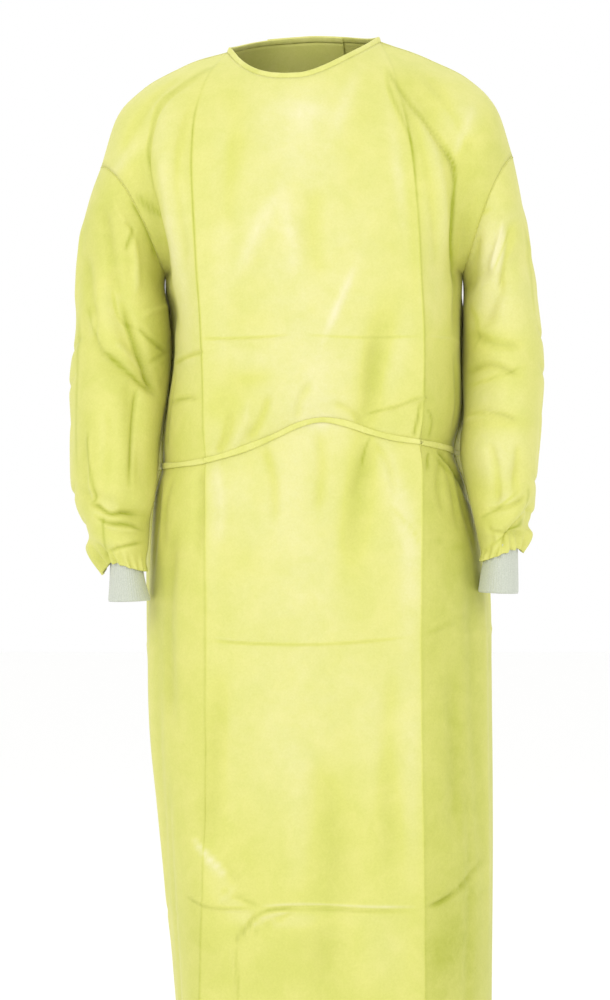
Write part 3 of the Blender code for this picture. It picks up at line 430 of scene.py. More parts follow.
OUTSIDE_CREASES = (
    (8, 1.4, 0, 34, -190, 22, -250, 28, -320), (7, -1.1, 0, -18, -185, -27, -245, -16, -305),
    (5, 1.3, 0.6, -56, -330, -16, -350, 34, -342), (5, 1.2, 0.5, -62, -374, -22, -392, 26, -378),
    (6, -1.1, 0, -52, -424, -40, -476, -50, -526), (5, 1.1, 0, -4, -430, -14, -480, -24, -530),
    (4, 1.2, 0.5, -86, -502, -52, -520, -12, -510), (4, 1.1, 0.4, -92, -546, -56, -558, -20, -550),
)
OUTSIDE_SHIFT = 0.015
OUTSIDE_FROM = 0.25
OUTSIDE_REACH = 0.35
# Fine lines of painted shade, and a few of painted highlight, where the cloth was folded or is sewn.
# Columns: half width in millimetres, change of tone in thousandths, and x, z of each of the line's
# points in millimetres.
FRONT_PAINTED_LINES = (
    (2.6, -350, -94, -18, -119, -32, -142, -47, -168, -69, -179, -89, -186, -113),
    (2.6, -500, -179, -89, -186, -113, -190, -130, -189, -151, -186, -172, -182, -201),
    (1.8, -500, -202, -181, -190, -199, -177, -218),
    (2.7, -420, 90, -22, 103, -47, 125, -76, 142, -98, 155, -113, 167, -133),
    (2.5, -850, 155, -113, 167, -133, 175, -148, 178, -164, 178, -188, 179, -218, 180, -262, 180, -309),
    (2.4, -450, 93, -31, 98, -60, 112, -96, 121, -120, 126, -148, 128, -179),
    (1.6, -350, -127, -353, -94, -354, -62, -353, -7, -350), (1.6, -250, -7, -350, 62, -353, 137, -351),
    (1.7, -550, 69, -443, 80, -439, 104, -432, 128, -423, 141, -422),
    (1.6, -600, 133, -423, 130, -443, 125, -471), (1.6, -600, 139, -432, 145, -446, 146, -472),
    (1.7, -600, 147, -483, 143, -494, 142, -505), (2, -800, 155, -481, 169, -495, 184, -518, 198, -552),
    (1.8, -450, 150, -486, 169, -506, 183, -526), (1.8, -600, 46, -453, 58, -456, 71, -460, 83, -467),
    (1.7, -500, 76, -466, 69, -482, 64, -505), (2.2, -220, 93, -542, 112, -562, 125, -578, 132, -592),
    (1.6, -250, 145, -584, 169, -593, 193, -594), (2.8, -320, 137, -696, 164, -685, 193, -674),
    (1.8, -350, -116, -702, -53, -705, 28, -705, 134, -697),
    (1.8, 400, -58, -1006, -7, -1003, 62, -1006, 137, -1009),
    (1.7, -260, -58, -1011, -7, -1009, 62, -1012, 137, -1014),
    (1.8, -450, -145, -996, -109, -1009, -58, -1009), (2.2, -450, -82, -1050, -52, -1014, -8, -1006),
    (2.2, -350, -102, -989, -76, -998, -51, -1007), (2.2, -250, -76, -1047, -44, -1026, -14, -1012),
    (3.6, 450, -133, -928, -113, -952, -90, -975), (1.7, -350, -82, -1051, -80, -1081, -79, -1124),
    (3.8, -300, 137, -1012, 161, -1003, 184, -989, 216, -959),
    (1.7, -350, -163, -424, -143, -422, -125, -424), (1.7, -300, -157, -380, -137, -373, -116, -369),
)
SLEEVE_PAINTED_LINES = {
    "right": (
        (1.8, -600, -254, -452, -252, -489, -247, -532, -256, -546),
        (1.8, -550, -196, -406, -199, -435, -203, -478, -206, -535),
        (2.6, -620, -247, -357, -227, -374, -206, -390, -189, -404, -173, -419),
        (2.6, -600, -220, -305, -202, -345, -186, -382, -172, -418),
        (2.4, -350, -199, -335, -181, -353, -165, -364),
        (1.9, -700, -256, -544, -243, -548, -227, -556, -206, -555, -182, -561),
        (1.8, -550, -248, -556, -230, -567, -206, -569, -185, -578),
        (1.7, -550, -235, -556, -235, -586, -233, -611), (1.7, -500, -233, -602, -210, -594, -187, -589),
        (1.7, -550, -203, -217, -212, -250), (1.9, -600, -209, -183, -189, -220, -174, -260),
        (1.7, -400, -230, -292, -220, -325, -195, -340), (1.7, -350, -259, -305, -252, -340, -237, -366),
        (1.7, -400, -270, -305, -269, -375, -270, -446, -266, -516),
    ),
    "left": (
        (2.2, -360, 185, -218, 200, -206, 220, -198),
        (2.5, -420, 183, -444, 208, -439, 232, -442, 249, -451),
        (1.7, -300, 188, -406, 220, -397, 263, -382),
        (1.9, -650, 212, -595, 232, -582, 252, -573, 262, -562),
        (1.7, -400, 203, -562, 220, -551, 252, -526), (1.7, -500, 259, -522, 260, -542, 256, -566),
        (1.7, -300, 193, -305, 202, -340, 198, -366), (1.7, -300, 256, -204, 266, -258, 270, -328),
        (1.7, -300, 215, -278, 232, -243, 246, -218),
    ),
}

# The share of a crease over which it fades in and out, and the steps between two of its points
CREASE_FADE = 0.22
CURVE_STEPS = 8

# How near each panel's side seams and top edge the folds and the small creases fade to nothing, in
# shares of the panel, and the same for a sleeve's armhole, its cuff and the turn to its front
FOLD_SIDE, FOLD_TOP = 0.10, 0.25
SMALL_SIDE, SMALL_TOP = 0.06, 0.08
ARMHOLE_FADE, CUFF_FADE, SMALL_ARMHOLE_FADE = 0.12, 0.06, 0.03
FACE_FROM, FACE_REACH = 0.1, 0.5
BEHIND_SHARE, BEHIND_SHIFT = 0.8, 0.012

# The cloth's slow unevenness. Columns: height, waves across and upwards, start
HEM_WAVES = ((0.0030, 31, 2.3, 0), (0.0016, 67, -5, 1.3))
HEM_TURN = {"front": 0.0, "back": 2.1}
HEM_FROM, HEM_REACH, HEM_WIDTH, HEM_POWER = -0.53, 0.7, 0.17, 6

# A fainter unevenness all over: its height and the two waves that make it, across and upwards
BODY_CALM = (0.0007, (58, 33), (-19, 41))
SLEEVE_CALM = (0.0012, (3, 9), (2, 17))

# Gathers where the sleeve is sewn to its cuff: how many, how uneven, how deep and how far they reach
GATHER_WAVES = 17
GATHER_UNEVEN = 0.5
GATHER_SWAY = 1.5
GATHER_DEPTH = 0.0022
GATHER_REACH = 0.16

# Knitted cuffs: their ribs, wall and rounded lower edge
CUFF_RIBS = 46
CUFF_RIB_POINTS = 6
CUFF_RIB_DEPTH = 0.0005
CUFF_ROWS = 30
CUFF_RIB_POWER = 0.7
CUFF_WALL = 0.002
CUFF_EDGE_ROUND = 0.0008
CUFF_EDGE_HEIGHT = 0.002

# The camera, in front of the gown and level, what height it takes in, and the floor
CAMERA_DISTANCE = 3.2
CAMERA_X = -0.0012
CAMERA_Z = -0.540
FRAME_HEIGHT = 1.2
FLOOR_Z = -1.520
SENSOR = 24.0

# Waves along the strips. Columns: height, how many, start
BINDING_PUCKERS = ((0.10, 1 / 0.0031, 0), (0.05, 1 / 0.001147, 0))
BELT_WIDTH_WAVES = ((0.10, 7, 0), (0.06, 17, 1))
BELT_TILT_WAVES = ((0.20, 5, 0.6), (0.12, 11, 0))

# Scales of the materials' patterns, in repeats for each metre, the share of the fibres in the colour,
# how much the tones are broken up, and how much creases and folds are felt in height, and in tone as
# painted shade in their hollows and painted highlight on their ridges
CLOUD_SCALE = 26.0
FIBRE_SCALE = 420.0
DOT_SCALE = 620.0
PUCKER_SCALE = 90.0
KNIT_SCALE = 900.0
KNIT_ROWS = 260.0
FIBRE_SHARE = 0.22
TONE_BREAK = 0.7
BREAK_SCALE = 38.0
CREASE_GAIN = 1.7
CREASE_SHADE_AND_HIGHLIGHT = 50.0
FOLD_PAINTED_SHADE = 12.0

# Rows and columns closer together at the creases the folded gown was pressed to, and the creases
# that run up the front: how far round each is, how high it stands, the painted shade line along it,
# which is fainter below the waist and near the shoulder, and the painted shade on the cloth beyond it,
# where the side turns away from the light, which is also fainter higher up.
PRESSED_ROWS = ((-0.373, -0.344), (-0.710, -0.688), (-1.019, -0.999))
PRESSED_STEP = 0.0017
PRESSED_BESIDE = (-0.0072, -0.0036, 0.0036, 0.0072)
PRESSED_WIDTH = 0.0055
PRESSED_COLUMNS = ((-0.56, 0.0003, -0.80, -0.08), (0.56, 0.0004, -0.60, -0.32))
LINE_BELOW = 0.40
LINE_FROM = -0.50
LINE_REACH = 0.12
LINE_TOP = -0.11
LINE_TOP_REACH = 0.05
LINE_TOP_LOSS = 0.75
BEYOND_ABOVE = 0.30
BEYOND_FROM = -0.42
BEYOND_REACH = 0.10

# The steps between rows, finest at the waist: below each height, the step there
ROW_STEPS = ((-1.02, 0.011), (-0.56, 0.0076), (-0.40, 0.0028), (0.0, 0.0045))

# Light. Columns: name, place, size and power
FLOOR_HALF = 14.0
WORLD_LIGHT = 1.0
LIGHT_TARGET = (0.0, 0.0, -0.6)
LIGHTS = (
    ("key", (-1.9, -2.8, 1.2), 1.2, 27.0),
    ("fill", (2.2, -2.8, 0.5), 1.6, 15.5),
    ("top", (0.0, 1.6, 2.0), 2.0, 8.0),
)


def srgb(red, green, blue):
    """A linear colour from the 0 to 255 values that a screen shows."""
    channels = [value / 255 for value in (red, green, blue)]
    return tuple(v / 12.92 if v <= 0.04045 else ((v + 0.055) / 1.055) ** 2.4 for v in channels) + (1.0,)


# The palest colour: where the cloth lies close over what is beneath it, and painted highlight; also the
# sheen's tint
PALE_AND_HIGHLIGHT = srgb(234, 227, 190)
LIME = srgb(215, 213, 120)
THIN = srgb(207, 208, 108)
STRIP = srgb(223, 221, 136)
STRIP_THIN = srgb(208, 209, 110)
SEAM = srgb(221, 220, 126)
# The deepest colour: where the cloth stands off, and painted shade in folds, creases and shaded zones
DEEP_AND_SHADE = srgb(166, 173, 52)
KNIT = srgb(204, 208, 194)
KNIT_SHADE = srgb(186, 192, 176)
FELT = srgb(232, 232, 226)
FLOOR_COLOUR = srgb(254, 254, 253)


def spline(table, x):
    """The table's other columns at x, on a smooth curve through its rows."""
    table = np.asarray(table, float)
    x = np.clip(np.asarray(x, float), table[0, 0], table[-1, 0])
    places, values = table[:, 0], table[:, 1:]
    slopes = np.gradient(values, places, axis=0)
    i = np.clip(np.searchsorted(places, x) - 1, 0, len(places) - 2)
    step = (places[i + 1] - places[i])[..., None]
    t = (x - places[i])[..., None] / step
    return (
        (2 * t**3 - 3 * t**2 + 1) * values[i]
        + (t**3 - 2 * t**2 + t) * step * slopes[i]
        + (3 * t**2 - 2 * t**3) * values[i + 1]
        + (t**3 - t**2) * step * slopes[i + 1]
    )


def ease(t):
    """0 to 1 with level ends."""
    t = np.clip(t, 0, 1)
    return t * t * (3 - 2 * t)


def unit(vectors):
    """The vectors at length 1."""
    return vectors / np.linalg.norm(vectors, axis=-1, keepdims=True)


def circle(count):
    """Angles evenly spaced round a ring."""
    return np.linspace(0, 2 * math.pi, count, endpoint=False)


def ring_tangent(points):
    """The way along a closed line at each of its points."""
    return np.roll(points, -1, axis=0) - np.roll(points, 1, axis=0)


def lengths(points):
    """How far along the line each of its points lies."""
    return np.concatenate([[0], np.cumsum(np.linalg.norm(np.diff(points, axis=0), axis=1))])


def waves(at, rows):
    """A sum of sine waves along a line."""
    return sum(height * np.sin(many * at + start) for height, many, start in rows)


def squared(wave, power):
    """A sine or cosine with broader tops, for a strip's section."""
    return np.sign(wave) * abs(wave) ** power


def across(direction, tangent):
    """The unit part of a direction that lies square to the tangent."""
    tangent = unit(tangent)
    return unit(direction - (direction * tangent).sum(-1, keepdims=True) * tangent)


def row_height(panel, c, z):
    """Where a level line of cloth lies once the belt has drawn it up or down."""
    belt = BELT_FRONT if panel == "front" else BELT_BACK
    shift = spline(belt, c)[..., 0] - BELT_Z
    return z + shift * np.exp(-(((z - BELT_Z) / BELT_WARP_REACH) ** 2))


def section_points(panel, c, z):
    """Points of the front or back below the armpits; c runs from -1 to 1 between the side seams."""
    s = dict(zip(SECTION_COLUMNS[1:], np.moveaxis(spline(np.array(SECTIONS) / 1000, z), -1, 0)))
    reach = np.where(c < 0, s["right"], s["left"])
    if panel == "front":
        right, left, depth = s["crease_right"], s["crease_left"], s["front"]
        crease = s["crease_depth"]
        facing = -1
    else:
        right, left, depth = BACK_TURN * s["right"], BACK_TURN * s["left"], s["back"]
        crease = BACK_TURN_DEPTH * depth
        facing = 1
    facing_back = (facing + 1) / 2
    q = np.clip(c / CREASE_AT, -1, 1)
    w = np.clip((abs(c) - CREASE_AT) / (1 - CREASE_AT), 0, 1)
    at = np.where(c < 0, right, left)
    slope = 4 * (depth - crease) / (left + right)
    knee = crease - slope * (reach - at)
    if panel == "front":
        knee = np.where(c < 0, KNEE_RIGHT, KNEE_LEFT) * crease
    middle_x = (left - right) / 2 + (left + right) / 2 * q
    middle_y = depth - (depth - crease) * q**2
    bulge = facing_back * np.where(c < 0, s["bulge_right"], s["bulge_left"])
    side_x = np.sign(c) * ((1 - w) ** 2 * at + 2 * w * (1 - w) * (reach + bulge) + w**2 * reach)
    side_y = (1 - w) ** 2 * crease + 2 * w * (1 - w) * knee + w**2 * facing * s["side_y"]
    x = np.where(w > 0, side_x, middle_x)
    y = facing * np.where(w > 0, side_y, middle_y)
    return np.stack([x, y, z + 0 * x], axis=-1)


def armhole(side, panel, v):
    """The panel's armhole edge, from the underarm at v = 0 to the shoulder tip at v = 1."""
    tip = np.array(SHOULDER_TIP[side])
    under = np.array(SLEEVES[side][0]) / 1000
    under = np.array([under[2], SHOULDER_TIP[side][1], under[3]])
    angle = math.pi * (1 - v)[..., None]
    out = np.array([0, -ARMHOLE_DEPTH if panel == "front" else ARMHOLE_DEPTH, 0])
    up = np.array([0, 0, ARMHOLE_BOW])
    return tip + (under - tip) * (1 - np.cos(angle)) / 2 + out * np.sin(angle) + up * np.sin(angle) ** 2


def line_up(first, rows, last, v):
    """A line from first at v = 0 through the rows to last at v = 1, or to the last row."""
    table = [(0, *first), *np.array(rows) / 1000]
    if last is not None:
        table.append((1, *last))
    return spline(table, v)


def upper_points(panel, c, v):
    """Points above the armpits; v runs from the armpit's height to the shoulder and neckline."""
    start = {
        key: section_points(panel, np.array(at), np.array(ARMPIT_Z))
        for key, at in (("right", -CREASE_AT), ("left", CREASE_AT), ("middle", 0.0))
    }
    lines = {
        side: line_up(start[side], CREASE_LINE[panel, side], NECK_POINT[side], v)
        for side in ("right", "left")
    }
    centre = line_up(start["middle"], CENTRE_LINE[panel], None, v)
    q = np.clip(c / CREASE_AT, -1, 1)[..., None]
    near_neck = ease(v)[..., None]
    power = np.where(q < 0, NECK_ROUNDNESS["right"], NECK_ROUNDNESS["left"])
    drop = 1 - abs(q) ** (2 + (power - 2) * near_neck)
    rounding = 1 - (1 - NECK_PLAN_ROUNDNESS) * near_neck
    plan = np.maximum(1 - abs(q) ** NECK_PLAN_POWER, 0) ** rounding
    plan = drop + (plan - drop) * near_neck
    drop = np.concatenate([drop, plan, drop], axis=-1)
    chord = (lines["left"] + lines["right"]) / 2
    half = (lines["left"] - lines["right"]) / 2
    middle = chord + half * q + (centre - chord) * drop

    w = np.clip((abs(c) - CREASE_AT) / (1 - CREASE_AT), 0, 1)
    points = middle
    facing = -1 if panel == "front" else 1
    for side, sign in (("right", -1), ("left", 1)):
        edge = armhole(side, panel, v)
        top = line_up(NECK_POINT[side], SHOULDER_LINE[side], SHOULDER_TIP[side], w)
        place = sign * (CREASE_AT + w * (1 - CREASE_AT))
        base = section_points(panel, place, np.full_like(w, ARMPIT_Z))
        along = w[..., None]
        straight = np.array(NECK_POINT[side]) * (1 - along) + np.array(SHOULDER_TIP[side]) * along
        top_off = top - straight
        base_end = section_points(panel, np.array(float(sign)), np.array(ARMPIT_Z))
        base_off = base - (start[side] * (1 - along) + base_end * along)
        up = ease(v)[..., None]
        swell = SHOULDER_SWELL * 4 * along * (1 - along) * 4 * up * (1 - up) * np.array([0, facing, 0])
        strip = lines[side] * (1 - along) + edge * along + swell
        strip = strip + base_off * (1 - up) + top_off * up
        points = np.where((sign * c > CREASE_AT)[..., None], strip, points)
    return points


def fold_depth(x, z, folds):
    """How far the folds lower the cloth at a place seen from the front."""
    total = np.zeros_like(x)
    for x0, z0, x1, z1, bend, width, depth in np.array(folds) / 1000:
        run = math.hypot(x1 - x0, z1 - z0)
        t = ((x - x0) * (x1 - x0) + (z - z0) * (z1 - z0)) / run**2
        off = ((z - z0) * (x1 - x0) - (x - x0) * (z1 - z0)) / run - 4 * bend * t * (1 - t)
        fade = ease((t + FOLD_END) / (2 * FOLD_END)) * ease((1 + FOLD_END - t) / (2 * FOLD_END))
        total += depth * fade * np.exp(-((off / width) ** 2))
    return total


def normals_of(grid, closed=False):
    """Unit normals of a grid of points, rows upwards and columns to the wearer's left in front."""
    rows = np.gradient(grid, axis=0)
    columns = np.gradient(grid, axis=1)
    if closed:
        columns = np.roll(grid, -1, axis=1) - np.roll(grid, 1, axis=1)
    return unit(np.cross(columns, rows))


def smooth_line(points):
    """Closely spaced points on a smooth curve through a crease's own points."""
    table = np.column_stack([np.arange(len(points)), points])
    return spline(table, np.linspace(0, len(points) - 1, CURVE_STEPS * (len(points) - 1) + 1))


def crease_depth(x, z, rows):
    """How far creases lower the cloth at places seen from the front."""
    total = np.zeros_like(x)
    for row in rows:
        width, depth, lean, *points = np.array(row) / 1000
        line = smooth_line(np.reshape(points, (-1, 2)))
        reach = 3 * width
        low, high = line.min(axis=0) - reach, line.max(axis=0) + reach
        near = (x > low[0]) & (x < high[0]) & (z > low[1]) & (z < high[1])
        if not near.any():
            continue
        here = np.stack([x[near], z[near]], axis=-1)
        best = np.full(len(here), np.inf)
        place, side = np.zeros(len(here)), np.zeros(len(here))
        for i in range(len(line) - 1):
            run = line[i + 1] - line[i]
            length = np.hypot(*run)
            t = np.clip(((here - line[i]) @ run) / length**2, 0, 1)
            offset = here - (line[i] + t[:, None] * run)
            distance = np.hypot(offset[:, 0], offset[:, 1])
            closer = distance < best
            best[closer] = distance[closer]
            place[closer] = (i + t[closer]) / (len(line) - 1)
            side[closer] = np.sign(run[0] * offset[closer, 1] - run[1] * offset[closer, 0])
        fade = ease(place / CREASE_FADE) * ease((1 - place) / CREASE_FADE)
        away = best / width
        total[near] += fade * np.exp(-away**2) * (depth + lean * side * away)
    return total


def painted_line_tone(x, z, rows):
    """How much the fine lines of painted shade and painted highlight change the tone at places seen from
    the front.
    """
    return crease_depth(x, z, [(width, change, 0, *points) for width, change, *points in rows])


def finer(values, step):
    """The values, with evenly spaced ones between, no further apart than the step."""
    made = [values[0]]
    for low, high in zip(values, values[1:]):
        count = max(1, math.ceil(abs(high - low) / step - NEAR))
        made += [low + (high - low) * k / count for k in range(1, count + 1)]
    return np.array(made)


def row_heights():
    """The heights of the rows below the armpits, closer where the creases are fine."""
    made = [LOWER_HEIGHTS[0]]
    for low, high in zip(LOWER_HEIGHTS, LOWER_HEIGHTS[1:]):
        step = next(step for top, step in ROW_STEPS if (low + high) / 2 < top)
        made += list(finer((low, high), step)[1:])
    made = np.array(made)
    for low, high in PRESSED_ROWS:
        made = np.concatenate([made[(made < low) | (made > high)], np.arange(low, high, PRESSED_STEP)])
    return np.sort(made)


def tone_at(x, z, rows):
    """How much paler or deeper the cloth looks at places seen from the front, partly painted light and
    shade.
    """
    total = np.zeros_like(x)
    for middle_x, middle_z, half_width, half_height, lean, change in np.array(rows) / 1000:
        off_x = (x - middle_x - lean * (z - middle_z)) / half_width
        off_z = (z - middle_z) / half_height
        total += change * np.exp(-(off_x**2) - off_z**2)
    return total


def body_shell(panel, columns):
    """Points of the front or back's outer face, hem first, the outward way and the tone at each, which
    holds painted light and shade.
    """
    heights = row_heights()
    upper = np.linspace(0, 1, UPPER_ROWS + 1)[1:]
    rows = []
    for low in heights:
        level = np.full_like(columns, low)
        height = level if low >= ARMPIT_Z - NEAR else row_height(panel, columns, level)
        rows.append(section_points(panel, columns, height))
    for v in upper:
        rows.append(upper_points(panel, columns, np.full_like(columns, v)))
    grid = np.array(rows)
    x, y, z = np.moveaxis(grid, -1, 0)
    facing = 1 if panel == "front" else -1
    normals = facing * normals_of(grid)
    normals[:len(heights), [0, -1], 1] = 0
    normals = unit(normals)
    main_folds, creases, tones, lines = (
        (FRONT_FOLDS, FRONT_CREASES, FRONT_TONES, FRONT_PAINTED_LINES) if panel == "front"
        else (BACK_FOLDS, BACK_CREASES, BACK_TONES, ())
    )
    folds = fold_depth(x, z, main_folds)
    small = CREASE_GAIN * crease_depth(x, z, creases)
    side_y, side_z = facing * y, z + SIDE_SHIFT * (columns < 0)
    at_side = ease((abs(columns) - SIDE_FROM) / SIDE_REACH)
    small = small + at_side * CREASE_GAIN * crease_depth(side_y, side_z, SIDE_CREASES)
    shade = np.zeros_like(small)
    # Each pressed crease paints a line of shade along itself and shade over the side beyond it
    for at, height, line, beyond in PRESSED_COLUMNS:
        edge = np.exp(-(((columns - at) / PRESSED_WIDTH) ** 2))
        small = small - height * edge
        upwards = LINE_BELOW + (1 - LINE_BELOW) * ease((z - LINE_FROM) / LINE_REACH)
        upwards = upwards * (1 - LINE_TOP_LOSS * ease((z - LINE_TOP) / LINE_TOP_REACH))
        past = ease((np.sign(at) * (columns - at) + PRESSED_WIDTH) / (2 * PRESSED_WIDTH))
        past = past * (1 - (1 - BEYOND_ABOVE) * ease((z - BEYOND_FROM) / BEYOND_REACH))
        shade = shade + line * edge * upwards + beyond * past
    levels = np.concatenate([heights, np.zeros(len(upper))])[:, None]
    pull = BELT_PULL * np.exp(-(((levels - BELT_Z) / BELT_PULL_REACH) ** 2))
    from_side = 1 - abs(columns)
    from_top = 1 - np.concatenate([np.zeros(len(heights)), upper])[:, None]
    fold_fade = ease(from_side / FOLD_SIDE)
    lowered = folds * fold_fade * ease(from_top / FOLD_TOP) + pull
    lowered += small * ease(from_side / SMALL_SIDE) * ease(from_top / SMALL_TOP)
    lowered += hem_wave(panel, x, z) * fold_fade
    # The tone: patches that are partly painted light and shade, painted shade in the hollows of creases and
    # folds, painted highlight on ridges, then painted shade along and beyond the pressed creases and along
    # the fine lines
    tone = tone_at(x, z, tones) - CREASE_SHADE_AND_HIGHLIGHT * small - FOLD_PAINTED_SHADE * folds
    tone = tone + shade + painted_line_tone(x, z, lines)
    return grid - normals * lowered[..., None], normals, tone


def hem_wave(panel, x, z):
    """The cloth's slow unevenness, a few millimetres, more towards the hem."""
    turn = HEM_TURN[panel]
    down = ease((HEM_FROM - z) / HEM_REACH)
    wave = sum(high * np.sin(wide * x + up * z + start + turn) for high, wide, up, start in HEM_WAVES)
    height, (a, b), (c, d) = BODY_CALM
    calm = height * np.sin(a * x + b * z + turn) * np.sin(c * x + d * z)
    return (wave * down + calm) * np.exp(-((x / HEM_WIDTH) ** HEM_POWER))


def sleeve_shell(side):
    """Points of a sleeve's outer face, cuff end first, round from the outer edge by the front."""
    table = np.array(SLEEVES[side]) / 1000
    places = np.linspace(0, 1, len(table))
    along = np.linspace(1, 0, SLEEVE_ALONG + 1)[:, None]
    s = dict(zip(SLEEVE_COLUMNS, spline(np.column_stack([places, table]), along[:, 0]).T[..., None]))
    phi = circle(SLEEVE_AROUND)
    sign = 1 if side == "left" else -1
    bow = ARMHOLE_BOW * (1 - ease(along / BOW_REACH))
    ear = np.maximum(np.cos(phi), 0) ** EAR_NARROWNESS
    x = (s["outer_x"] + s["inner_x"]) / 2 + np.cos(phi) * (s["outer_x"] - s["inner_x"]) / 2
    z = (s["outer_z"] + s["inner_z"]) / 2 + np.cos(phi) * (s["outer_z"] - s["inner_z"]) / 2
    y = s["y"] - s["depth"] * np.sin(phi)
    x = x + sign * s["ear"] * ear
    z = z + bow * np.sin(phi) ** 2 - s["ear_drop"] * ear
    grid = np.stack([x, y, z], axis=-1)
    outward = -sign * normals_of(grid, closed=True)
    folds = fold_depth(x, z, SLEEVE_FOLDS[side])
    small = CREASE_GAIN * crease_depth(x, z, SLEEVE_CREASES[side])
    in_front, behind = (ease((turn * np.sin(phi) + FACE_FROM) / FACE_REACH) for turn in (1, -1))
    mirrored = CREASE_GAIN * crease_depth(x, z + BEHIND_SHIFT, SLEEVE_CREASES[side])
    ends = ease(along / ARMHOLE_FADE) * ease((1 - along) / CUFF_FADE)
    near_cuff = ease((along - (1 - GATHER_REACH)) / GATHER_REACH)
    uneven = 1 + GATHER_UNEVEN * np.sin(3 * phi + 0.7) * np.sin(5 * phi)
    sway = GATHER_SWAY * np.sin(2 * phi)
    gathers = GATHER_DEPTH * near_cuff * uneven * np.sin(GATHER_WAVES * phi + sway)
    height, (a, b), (c, d) = SLEEVE_CALM
    calm = height * np.sin(a * phi + b * along) * np.sin(c * phi + d * along) * ends
    outside = ease((np.cos(phi) - OUTSIDE_FROM) / OUTSIDE_REACH)
    shift = OUTSIDE_SHIFT if side == "right" else 0.0
    beside = CREASE_GAIN * outside * crease_depth(y, z + shift, OUTSIDE_CREASES) * ends
    lowered = folds * in_front * ends + small * in_front * ease(along / SMALL_ARMHOLE_FADE) + beside
    lowered = lowered + BEHIND_SHARE * mirrored * behind * ends + gathers + calm
    # The sleeve's tone: patches that are partly painted light and shade, painted shade in crease hollows,
    # painted highlight on ridges, and painted shade along the fine lines
    tone = tone_at(x, z, SLEEVE_TONES[side]) - CREASE_SHADE_AND_HIGHLIGHT * small + painted_line_tone(x, z, SLEEVE_PAINTED_LINES[side])
    return grid - outward * lowered[..., None], outward, in_front * tone - CREASE_SHADE_AND_HIGHLIGHT * beside


def in_scene(name, data):
    """An object of the data, put in the scene."""
    made = bpy.data.objects.new(name, data)
    bpy.context.scene.collection.objects.link(made)
    return made


def new_object(name, points, faces, finish):
    """A smooth mesh piece that rides with the part."""
    mesh = bpy.data.meshes.new(name)
    mesh.from_pydata([tuple(p) for p in points], [], [tuple(f) for f in faces])
    mesh.materials.append(finish)
    mesh.shade_smooth()
    made = in_scene(name, mesh)
    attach(made, "root")
    return made


def grid_faces(rows, columns, closed, flip):
    """The quads of a grid of points, closed round or open."""
    across_count = columns if closed else columns - 1
    row, column = np.meshgrid(np.arange(rows - 1), np.arange(across_count), indexing="ij")
    row, column = row.ravel(), column.ravel()
    beside = (column + 1) % columns
    quads = np.stack([
        row * columns + column, row * columns + beside,
        (row + 1) * columns + beside, (row + 1) * columns + column,
    ], axis=1)
    return (quads[:, ::-1] if flip else quads).tolist()


def set_attribute(made, name, values):
    """A number for each point, for the material to read."""
    layer = made.data.attributes.new(name, "FLOAT", "POINT")
    layer.data.foreach_set("value", np.ascontiguousarray(values, dtype=np.float32).ravel())


def shell(name, outer, finish, closed=False, flip=False, tone=None, thick=SHEET):
    """A thin sheet of cloth on a grid of points, thickened inwards."""
    rows, columns = outer.shape[:2]
    made = new_object(name, outer.reshape(-1, 3), grid_faces(rows, columns, closed, flip), finish)
    set_attribute(made, "tone", np.zeros(rows * columns) if tone is None else tone)
    solid = made.modifiers.new("thickness", "SOLIDIFY")
    solid.thickness = thick
    solid.offset = -1
    return made


def strip(name, rings, finish, closed=False, flip=False):
    """A piece through rings of points, closed round or with its two ends shut."""
    count, sides = rings.shape[:2]
    faces = []
    for i in range(count if closed else count - 1):
        k = (i + 1) % count
        for a in range(sides):
            b = (a + 1) % sides
            face = (i * sides + a, k * sides + a, k * sides + b, i * sides + b)
            faces.append((face[0], *face[:0:-1]) if flip else face)
    if not closed:
        first, last = tuple(range(sides)), tuple(range((count - 1) * sides, count * sides))
        faces += [first[::-1], last] if flip else [first, last[::-1]]
    return new_object(name, rings.reshape(-1, 3), faces, finish)


def panel_columns(first, last):
    """Column places between first and last, closer where the cloth turns at the sides."""
    side = np.linspace(CREASE_AT, 1, SIDE_STEPS + 1)
    middle = np.linspace(-CREASE_AT, CREASE_AT, MIDDLE_STEPS + 1)
    beside = [sign * CREASE_AT + off for sign in (-1, 1) for off in PRESSED_BESIDE]
    every = np.sort(np.concatenate([-side[:0:-1], middle, side[1:], beside]))
    return every[(every > first - NEAR) & (every < last + NEAR)]


def lap_rise(columns):
    """How far the upper back panel stands out over the lower one, easing down past its edge."""
    return LAP_RISE * (1 - ease((columns - LAP_EDGE) / (CREASE_AT - LAP_EDGE)))


